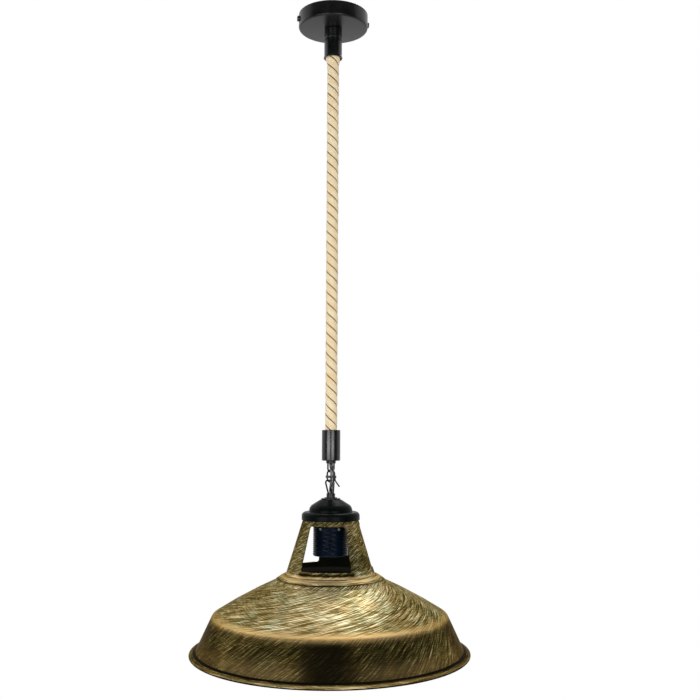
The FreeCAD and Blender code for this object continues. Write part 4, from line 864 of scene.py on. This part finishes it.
SHADE_TOP = levels("shade")[0]
SHADE_WALL = 0.9
HOLE_RADIUS = 20.3
TOP_RADIUS = 31.1
TOP_ROUNDING = 1.6
NECK_RADIUS = 49.8
NECK_HEIGHT = 60.2
COLLAR_RADIUS = 63.0
COLLAR_HEIGHT = 8.6
COLLAR_STEPS = ((0.20, 0.13), (0.50, 0.34), (0.86, 0.74))   # shares of its width and height
STEP_RISE = 0.45
KNEE_RADIUS = 131.0
KNEE_FALL = 36.0
KNEE_ROUNDING = 6.0
SHOULDER_ACROSS = 0.483    # where the shoulder's two lines would meet, as shares from collar to knee
SHOULDER_DOWN = 0.415
SHOULDER_ROUNDING = 285.0
SKIRT_FOOT_RADIUS = 148.2
SKIRT_FALL = 36.9
SKIRT_FOOT_ROUNDING = 2.0
RIM_RADIUS = 154.1
RIM_ROLL = 1.5
RIM_FALL = 3.8
ROLL_START = 96.0          # degrees of the roll's section at which the sheet runs into it
ROLL_END = -205.0
ROLL_ROWS = 34
WINDOWS = 3
WINDOW_HALF_ANGLE = 36.0
WINDOW_TURN = -7.0
WINDOW_DROP = 6.1
WINDOW_HEIGHT = 47.6
WINDOW_CORNER = 2.0
FINE_ROW = 0.8             # between rows where the sheet bends
COARSE_ROW = 3.0           # and elsewhere

NECK_FOOT = SHADE_TOP - NECK_HEIGHT
COLLAR_FOOT = NECK_FOOT - COLLAR_HEIGHT
KNEE = COLLAR_FOOT - KNEE_FALL
SKIRT_FOOT = KNEE - SKIRT_FALL
WINDOW_TOP = SHADE_TOP - WINDOW_DROP
WINDOW_FOOT = WINDOW_TOP - WINDOW_HEIGHT

RIDGES = (NECK_FOOT + 0.9, NECK_FOOT - 2.3)   # levels of the collar's ridges: bare metal and painted highlight
FIRST_LINE = NECK_FOOT - 0.4                  # of the painted shade line between them
FOOT_LINE = COLLAR_FOOT + 3.3                 # and of the one above the shoulder
KNEE_LINE = -1.2           # of the knee's line of wear and painted highlight, along the sheet from the knee

# Brushing of the sheet's zones from the top down: the level above which a zone lies, its mean
# radius, the degrees that its strokes lean, and how many times shorter they are.
ZONES = [(NECK_FOOT, 40.0, 28.0, 2.2),
         (FOOT_LINE, 57.0, 4.0, 1.0),
         (KNEE, 97.0, 24.0, 1.0),
         (SKIRT_FOOT, 139.0, 42.0, 1.2),
         (-math.inf, 152.0, 2.0, 1.0)]
ZONE_SHIFT = 50.0          # between the stroke patterns of two zones, so that they differ


def shade_line():
    """The outer side of the sheet from the hole in its top to the end of its rolled rim: straight
    and rounded runs through corners, then an arc of the roll's radius."""
    corners = [(HOLE_RADIUS, SHADE_TOP, 0), (TOP_RADIUS, SHADE_TOP, TOP_ROUNDING),
               (NECK_RADIUS, NECK_FOOT, 3 * SHADE_WALL)]
    for across, down in COLLAR_STEPS:
        r = NECK_RADIUS + across * (COLLAR_RADIUS - NECK_RADIUS)
        z = NECK_FOOT - down * COLLAR_HEIGHT
        corners += [(r, z, STEP_RISE), (r + STEP_RISE / 3, z - STEP_RISE, STEP_RISE)]
    last_step = COLLAR_FOOT - STEP_RISE
    corners += [(COLLAR_RADIUS, last_step, STEP_RISE),
                (COLLAR_RADIUS + 4 * STEP_RISE, last_step, 2 * STEP_RISE),
                (COLLAR_RADIUS + SHOULDER_ACROSS * (KNEE_RADIUS - COLLAR_RADIUS),
                 COLLAR_FOOT - SHOULDER_DOWN * KNEE_FALL, SHOULDER_ROUNDING),
                (KNEE_RADIUS, KNEE, KNEE_ROUNDING), (SKIRT_FOOT_RADIUS, SKIRT_FOOT, SKIRT_FOOT_ROUNDING),
                (RIM_RADIUS, SKIRT_FOOT - RIM_FALL + RIM_ROLL, 0)]
    line = rounded(corners, closed=False, step=6)
    roll = np.radians(np.linspace(ROLL_START, ROLL_END, ROLL_ROWS))
    curl = RIM_ROLL * np.stack([np.cos(roll), np.sin(roll)], axis=1)
    return np.concatenate([line[:-1], (RIM_RADIUS, SKIRT_FOOT - RIM_FALL) + curl])


def subdivided(line, steps):
    """The same line, each of its pieces cut into even parts that are shorter than the piece's step."""
    length = line_length(line)
    more = np.concatenate([np.linspace(a, b, int((b - a) / step) + 2)[:-1]
                           for a, b, step in zip(length, length[1:], steps)] + [length[-1:]])
    return np.stack([np.interp(more, length, line[:, k]) for k in range(2)], axis=1)


def window_rows():
    """Levels of rows that follow the rounded corners of a window: r (1 - cos a) from each edge."""
    curve = WINDOW_CORNER * (1 - np.cos(np.radians(np.linspace(0, 90, 7))))
    return np.concatenate([WINDOW_TOP - curve, WINDOW_FOOT + curve])


def edge_angle(r, z):
    """Half the angle of a window at a level. The edge is straight, and its corner is a quarter of a
    circle, so the half width is r sin(half angle) less the corner's share."""
    inside = np.clip(np.minimum(WINDOW_TOP - z, z - WINDOW_FOOT), 0, WINDOW_CORNER)
    loss = WINDOW_CORNER - np.sqrt(np.clip(WINDOW_CORNER ** 2 - (WINDOW_CORNER - inside) ** 2, 0, None))
    return np.degrees(np.arcsin(np.sin(math.radians(WINDOW_HALF_ANGLE)) - loss / np.minimum(r, NECK_RADIUS)))


def shade_rows():
    """The sheet's line with finer rows at the collar, the knee and the rim, and with the rows of the
    windows' corners on the neck."""
    line = shade_line()
    line = subdivided(line, np.full(len(line) - 1, COARSE_ROW))
    z = line[:, 1]
    from_collar = np.abs(z - (NECK_FOOT + COLLAR_FOOT) / 2) - COLLAR_HEIGHT
    from_knee = np.abs(z - KNEE) - 4
    from_rim = z - SKIRT_FOOT - 1
    bends = np.minimum(np.minimum(from_collar, from_knee), from_rim) < 0
    line = subdivided(line, np.where(bends[:-1], FINE_ROW, COARSE_ROW))
    r, z = line.T
    on_neck = (z < SHADE_TOP - 1.5) & (z > NECK_FOOT + 1.5) & (r < NECK_RADIUS)
    start, end = np.where(on_neck)[0][[0, -1]]
    extra_z = window_rows()
    extra_r = np.interp(extra_z, z[[end, start]], r[[end, start]])
    neck = np.concatenate([line[start:end + 1], np.stack([extra_r, extra_z], axis=1)])
    neck = neck[np.argsort(-neck[:, 1])]
    apart = np.concatenate([[True], np.diff(neck[:, 1]) < -0.02])
    return np.concatenate([line[:start], neck[apart], line[end + 1:]])


def shade_grid():
    """Rows along the sheet, columns round it. The columns bunch at the edges of the windows: from
    -edge to edge across a window, and from edge to 120 - edge across the pillar beside it."""
    line = shade_rows()
    edge = edge_angle(line[:, 0], line[:, 1])[:, None]
    across = np.linspace(-1, 1, 33)[None, :-1]
    beside = np.linspace(0, 1, 25)[None, :-1]
    sector = 360.0 / WINDOWS
    one = np.concatenate([edge * across, edge + (sector - 2 * edge) * beside], axis=1)
    angles = np.concatenate([one + k * sector for k in range(WINDOWS)], axis=1) + FRONT + WINDOW_TURN + FACING
    open_column = np.tile(np.arange(one.shape[1]) < across.shape[1], WINDOWS)
    return line, angles, open_column


def shade_shape():
    """Outer and inner sheet as two grids. Each grid edge that has a face on one side only gets a
    narrow face between the two sheets, which closes the windows, the hole and the end of the rim."""
    line, angles, open_column = shade_grid()
    c, s = np.cos(np.radians(angles)), np.sin(np.radians(angles))
    sheets = [np.stack([side[:, 0:1] * c, side[:, 0:1] * s, side[:, 1:2] + 0 * c], axis=2)
              for side in (line, inner_side(line, SHADE_WALL))]
    points = np.concatenate(sheets).reshape(-1, 3)
    z = line[:, 1]
    open_row = (z[:-1] <= WINDOW_TOP + 0.01) & (z[1:] >= WINDOW_FOOT - 0.01)
    there = ~(open_row[:, None] & open_column[None, :])
    here = np.arange(angles.size).reshape(angles.shape)
    right = np.roll(here, -1, axis=1)
    outer = np.stack([here[1:][there], right[1:][there], right[:-1][there], here[:-1][there]], axis=1)

    none = np.zeros((1, len(open_column)), bool)
    above, below, before = np.vstack([none, there]), np.vstack([there, none]), np.roll(there, 1, axis=1)
    top, foot, left, far = below & ~above, above & ~below, there & ~before, before & ~there
    starts = np.concatenate([here[top], right[foot], here[1:][left], here[:-1][far]])
    ends = np.concatenate([right[top], here[foot], here[:-1][left], here[1:][far]])
    walls = np.stack([starts, ends, ends + angles.size, starts + angles.size], axis=1)
    faces = np.concatenate([outer, outer[:, ::-1] + angles.size, walls])
    inside = np.zeros(len(faces))
    inside[len(outer):2 * len(outer)] = 1
    return points, faces, inside, line, angles


def bell(distance, width):
    """1 at no distance and fading: e to the power of minus the square of distance / width."""
    return np.exp(-(distance / width) ** 2)


def off(angles, middle, turn=360.0):
    """How far angles lie from a middle that comes back every turn, from -turn / 2 to turn / 2."""
    return (angles - middle + turn / 2) % turn - turn / 2


def brush_values(line, angles):
    """Where a point lies in the brushing, in mm: along and across the strokes of its zone, with a
    shift for each zone. Round the shade it is the angle from the front, or from the back, times the
    zone's mean radius. behind goes from 0 to 1 between the two."""
    foot, radius, lean, shortness = np.array(ZONES).T
    zone = np.argmax(line[:, 1:2] > foot, axis=1)[:, None]
    c, s = np.cos(np.radians(lean))[zone], np.sin(np.radians(lean))[zone]
    v = -line_length(line)[:, None]
    values = {}
    for name, middle in (("brush_front", FRONT + FACING), ("brush_back", FRONT + FACING + 180)):
        u = np.radians(off(angles, middle)) * radius[zone]
        values[name] = np.stack([(u * c + v * s) * shortness[zone], v * c - u * s,
                                 zone * ZONE_SHIFT + 0 * u], axis=2)
    values["behind"] = np.clip(0.5 - np.cos(np.radians(angles - FRONT - FACING)) / 0.5, 0, 1)
    return values


def wear_and_painted_light(line, angles):
    """How bare the brass is from rubbing, with painted highlights (wear), and how dark it is painted,
    mostly as painted shade (dark), each a sum of bells and ramps over the level, the length from
    the knee and the angle from the front."""
    r, z = line[:, 0:1], line[:, 1:2]
    length = line_length(line)
    past_knee = (length - np.interp(-KNEE, -line[:, 1], length))[:, None]
    from_front = np.abs(off(angles, FRONT + FACING))
    # facing is 1 in front and 0.3 behind: it makes the painted highlights and the painted shade lines
    # strongest in front.
    facing = 0.3 + 0.7 * np.clip(np.cos(np.radians(from_front)), 0, 1) ** 2

    rim = np.clip((SKIRT_FOOT + 0.4 - z) / 0.3, 0, 1)
    # Painted shade in the seam between skirt and roll and under the roll; the rim's crest gets a painted
    # highlight in front and painted shade at the sides.
    seam = rim * np.clip((SKIRT_FOOT_RADIUS + 0.55 * (RIM_RADIUS - SKIRT_FOOT_RADIUS) - r) / 0.6, 0, 1)
    under = rim * (z < SKIRT_FOOT - RIM_FALL + 0.2)
    crest = rim * (1 - under) * (r > RIM_RADIUS - 1.2)
    skirt = np.clip((past_knee + 0.6) / 6.0, 0, 1) * (1 - rim)
    # Painted highlight: the shoulder is painted lighter towards the collar and in front.
    shoulder = np.clip((z - KNEE) / KNEE_FALL, 0, 1) * (z < NECK_FOOT) * facing
    ridge = sum(bell(z - level, 1.0) for level in RIDGES)
    in_window = np.abs(off(angles, FRONT + FACING + WINDOW_TURN, 360 / WINDOWS)) < WINDOW_HALF_ANGLE + 2
    # Painted shade on the strip below each window, down to the collar.
    sill_shade = in_window * (z < WINDOW_FOOT - 0.3) * np.clip((z - NECK_FOOT - 1.6) / 1.2, 0, 1)

    # The knee's band and the collar's ridges are bare from rubbing and painted with highlights, stronger in
    # front; the skirt's foot beside the front and the rim's crest in front get painted highlights.
    knee_width = np.where(past_knee < KNEE_LINE, 5.0, 4.0)
    knee_wear_and_highlight = bell(past_knee - KNEE_LINE, knee_width) * (0.45 + 0.55 * facing)
    painted_foot_highlight = bell(z - SKIRT_FOOT - 5, 9) * (1 - bell(from_front, 22)) * facing * (1 - rim)
    wear = knee_wear_and_highlight + 0.25 * crest * facing + 0.75 * ridge + 0.38 * painted_foot_highlight

    # Painted shade on the skirt, darkest in front, in the seam, under the roll, below the
    # windows and in the collar's two dark lines; the rim and the neck down to the windows' foot
    # are darker too, and the rim's crest takes painted shade at the sides. The shoulder and the
    # collar's ridges are lighter in front, as a painted highlight.
    dark = (0.60 + 0.38 * bell(from_front - 2, 17)) * skirt
    dark = dark + seam + 0.9 * under + 0.5 * (rim - crest) + 0.7 * crest * (1 - facing)
    dark = dark + 0.96 * sill_shade + 0.25 * (z > WINDOW_FOOT)
    dark = dark + 0.7 * facing * bell(z - FIRST_LINE, 0.55) + 1.2 * facing * bell(z - FOOT_LINE, 0.6)
    dark = dark - 0.15 * shoulder - 0.8 * ridge * facing
    return {name: np.broadcast_to(np.clip(share, -1, 1), angles.shape)
            for name, share in (("wear", wear), ("dark", dark))}


def make_shade():
    """The spun shade: both sides of its sheet with the same brushing, the inner one near-black
    as painted shade.
    """
    points, faces, inside, line, angles = shade_shape()
    values = {**brush_values(line, angles), **wear_and_painted_light(line, angles)}
    used, faces = np.unique(faces, return_inverse=True)
    values = {key: np.concatenate([data.reshape((-1,) + data.shape[2:])] * 2)[used]
              for key, data in values.items()}
    shape = (points[used], faces.reshape(-1, 4))
    shade = mesh_piece("shade_spun", shape, BRASS, 35.0, values, (INSIDE, inside))
    place(shade, "shade_group", "aged_brass", "shade")


make_shade()


# The pieces that keep their CAD shape

def dress():
    """A material for each CAD node that still shows."""
    finishes = {
        POWDER: ["rose_side_screws"],
        ZINC: ["ceiling_bracket", "earth_washer", "earth_screw", "stem_tube", "rose_nut", "upper_nut",
               "upper_grub_screw", "lower_grub_screw", "lower_nut", "cap_nut", "dome_nut", "holder_pins",
               "clamp_screws", "terminal_screws"],
        POLYAMIDE: ["terminal_block"],
        CONTACT_BRASS: ["terminal_barrels", "earth_tag", "terminals", "shell_plate", "shell_rivets",
                        "centre_contact"],
        SHEATH: ["rose_flex"],
        CORES: ["rose_cores", "holder_cores"],
        EARTH_PVC: ["earth_core"],
        NYLON: ["cable_tie"],
        PHENOLIC: ["holder_dome", "shade_ring"],
        STEATITE: ["insulator"],
    }
    for finish, nodes in finishes.items():
        for name in nodes:
            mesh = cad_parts[name].data
            mesh.materials.clear()
            mesh.materials.append(finish)


dress()


# Studio

CAMERA_DISTANCE = 1050.0
CAMERA_LEVEL = -490.5
CAMERA_PITCH = 5.043       # degrees up
CAMERA_YAW = 1.154         # degrees to the right, which puts the lamp left of the middle
CAMERA_ROLL = 0.20         # degrees, since the rope leans a little in the photograph
FOCAL_PIXELS = 918.0       # of a frame 700 pixels wide
FRAME_PIXELS = 700.0
SENSOR = 36.0
LAMP_AIM = -450.0          # level of the pendant's middle

# Azimuth in degrees, distance, height, width and tallness in mm, and power in watts. Azimuth 0 is the
# camera's side, and positive angles are to the camera's right.
LAMPS = {"left_box": (-31, 1200, -525, 800, 260, 7.5),
         "right_box": (20, 1200, -525, 620, 260, 6.0),
         "top": (171, 1000, 1000, 850, 850, 13.0),
         "side": (-116, 900, 40, 500, 500, 1.0)}

FLOOR_LEVEL = -2600.0
FLOOR_RADIUS = 3000.0
FLOOR_SIDES = 96
CLOTH_RADIUS = 1900.0
CLOTH_LEVELS = (-2300.0, 1500.0)
CLOTH_SPREAD = 78.0        # degrees to each side of the camera


def make_camera():
    """The camera stands in front of the pendant, level with its lower part, and looks up a little:
    a turn about z, then a tilt, then a roll about its own line of sight."""
    data = bpy.data.cameras.new("camera")
    data.sensor_width = SENSOR
    data.lens = FOCAL_PIXELS / FRAME_PIXELS * SENSOR
    data.clip_start, data.clip_end = 0.02, 50.0
    camera = in_scene("camera", data)
    camera.location = turned([(0, -CAMERA_DISTANCE, CAMERA_LEVEL)], FACING)[0] * MM
    turn = mathutils.Matrix.Rotation(math.radians(FACING - CAMERA_YAW), 4, "Z")
    tilt = mathutils.Matrix.Rotation(math.radians(90 + CAMERA_PITCH), 4, "X")
    roll = mathutils.Matrix.Rotation(math.radians(CAMERA_ROLL), 4, "Z")
    camera.rotation_euler = (turn @ tilt @ roll).to_euler()
    bpy.context.scene.camera = camera


def area_lamp(name, azimuth, distance, height, width, tallness, power):
    """A rectangular lamp that looks at the middle of the pendant."""
    data = bpy.data.lights.new(name, "AREA")
    data.shape = "RECTANGLE"
    data.size, data.size_y = width * MM, tallness * MM
    data.energy = power
    lamp = in_scene(name, data)
    at = turned([(0, -distance, height)], FACING + azimuth)[0] * MM
    aim = np.array([0, 0, LAMP_AIM * MM]) - at
    tilt = math.atan2(aim[2], math.hypot(aim[0], aim[1]))
    lamp.location = at
    lamp.rotation_euler = (math.pi / 2 + tilt, 0, math.atan2(-aim[0], aim[1]))


def looked_at(tree):
    """1 where the camera looks, straight or by gloss or glass, and 0 for light on other surfaces."""
    path = add(tree, "ShaderNodeLightPath")
    seen = add(tree, "ShaderNodeMath", {0: (path, "Is Camera Ray"), 1: (path, "Is Glossy Ray")},
               operation="MAXIMUM")
    seen = add(tree, "ShaderNodeMath", {0: (seen, "Value"), 1: (path, "Is Transmission Ray")},
               operation="MAXIMUM")
    return (seen, "Value")


def make_world():
    """White where the camera, gloss and glass look, grey as a light on everything else."""
    world = bpy.data.worlds.new("studio")
    world.use_nodes = True
    tree = world.node_tree
    tree.nodes.clear()
    strength = add(tree, "ShaderNodeMapRange", {"Value": looked_at(tree), "To Min": 0.85, "To Max": 1.0})
    sky = add(tree, "ShaderNodeBackground", {"Color": srgb("#ffffff"), "Strength": (strength, "Result")})
    add(tree, "ShaderNodeOutputWorld", {"Surface": (sky, "Background")})
    bpy.context.scene.world = world


def stage_piece(name, points, faces, finish):
    """A flat-shaded piece of the studio."""
    mesh = new_mesh(name, points, faces, finish)
    mesh.shade_flat()
    piece = in_scene(name, mesh)
    return piece


def make_floor():
    """A pale round floor far below, whose own light lifts it to white where it is looked at."""
    material, tree, shader = new_material("pale_floor", Roughness=0.9, Base_Color=srgb("#e6e6e6"))
    glow = add(tree, "ShaderNodeEmission", {"Color": srgb("#959595"), "Strength": looked_at(tree)})
    both = add(tree, "ShaderNodeAddShader", {0: (shader, "BSDF"), 1: (glow, "Emission")})
    feed(tree.nodes["Material Output"], {"Surface": (both, "Shader")})
    rim = np.column_stack([circle(FLOOR_RADIUS, FLOOR_SIDES), np.full(FLOOR_SIDES, FLOOR_LEVEL)])
    stage_piece("floor", rim, np.arange(FLOOR_SIDES)[None, :], material)


def make_flag():
    """A black cloth round the camera's side: a part of a cylinder that only the metal and lacquer
    reflect. The camera doesn't see it, and it takes no part in the soft light."""
    material, _, _ = new_material("black_cloth", Roughness=1.0, Base_Color=srgb("#161616"),
                                  Specular_IOR_Level=0.0)
    angles = np.radians(FRONT + FACING + np.linspace(-CLOTH_SPREAD, CLOTH_SPREAD, 40))
    arc = CLOTH_RADIUS * np.stack([np.cos(angles), np.sin(angles)], axis=1)
    grid = np.stack([np.column_stack([arc, np.full(len(arc), level)]) for level in CLOTH_LEVELS])
    flag = stage_piece("flag", *skin(grid, wrap_columns=False, poles=False), material)
    flag.visible_camera = False
    flag.visible_diffuse = False


make_camera()
make_world()
make_floor()
make_flag()
for name, values in LAMPS.items():
    area_lamp(name, *values)

bpy.context.scene.view_settings.view_transform = "Standard"
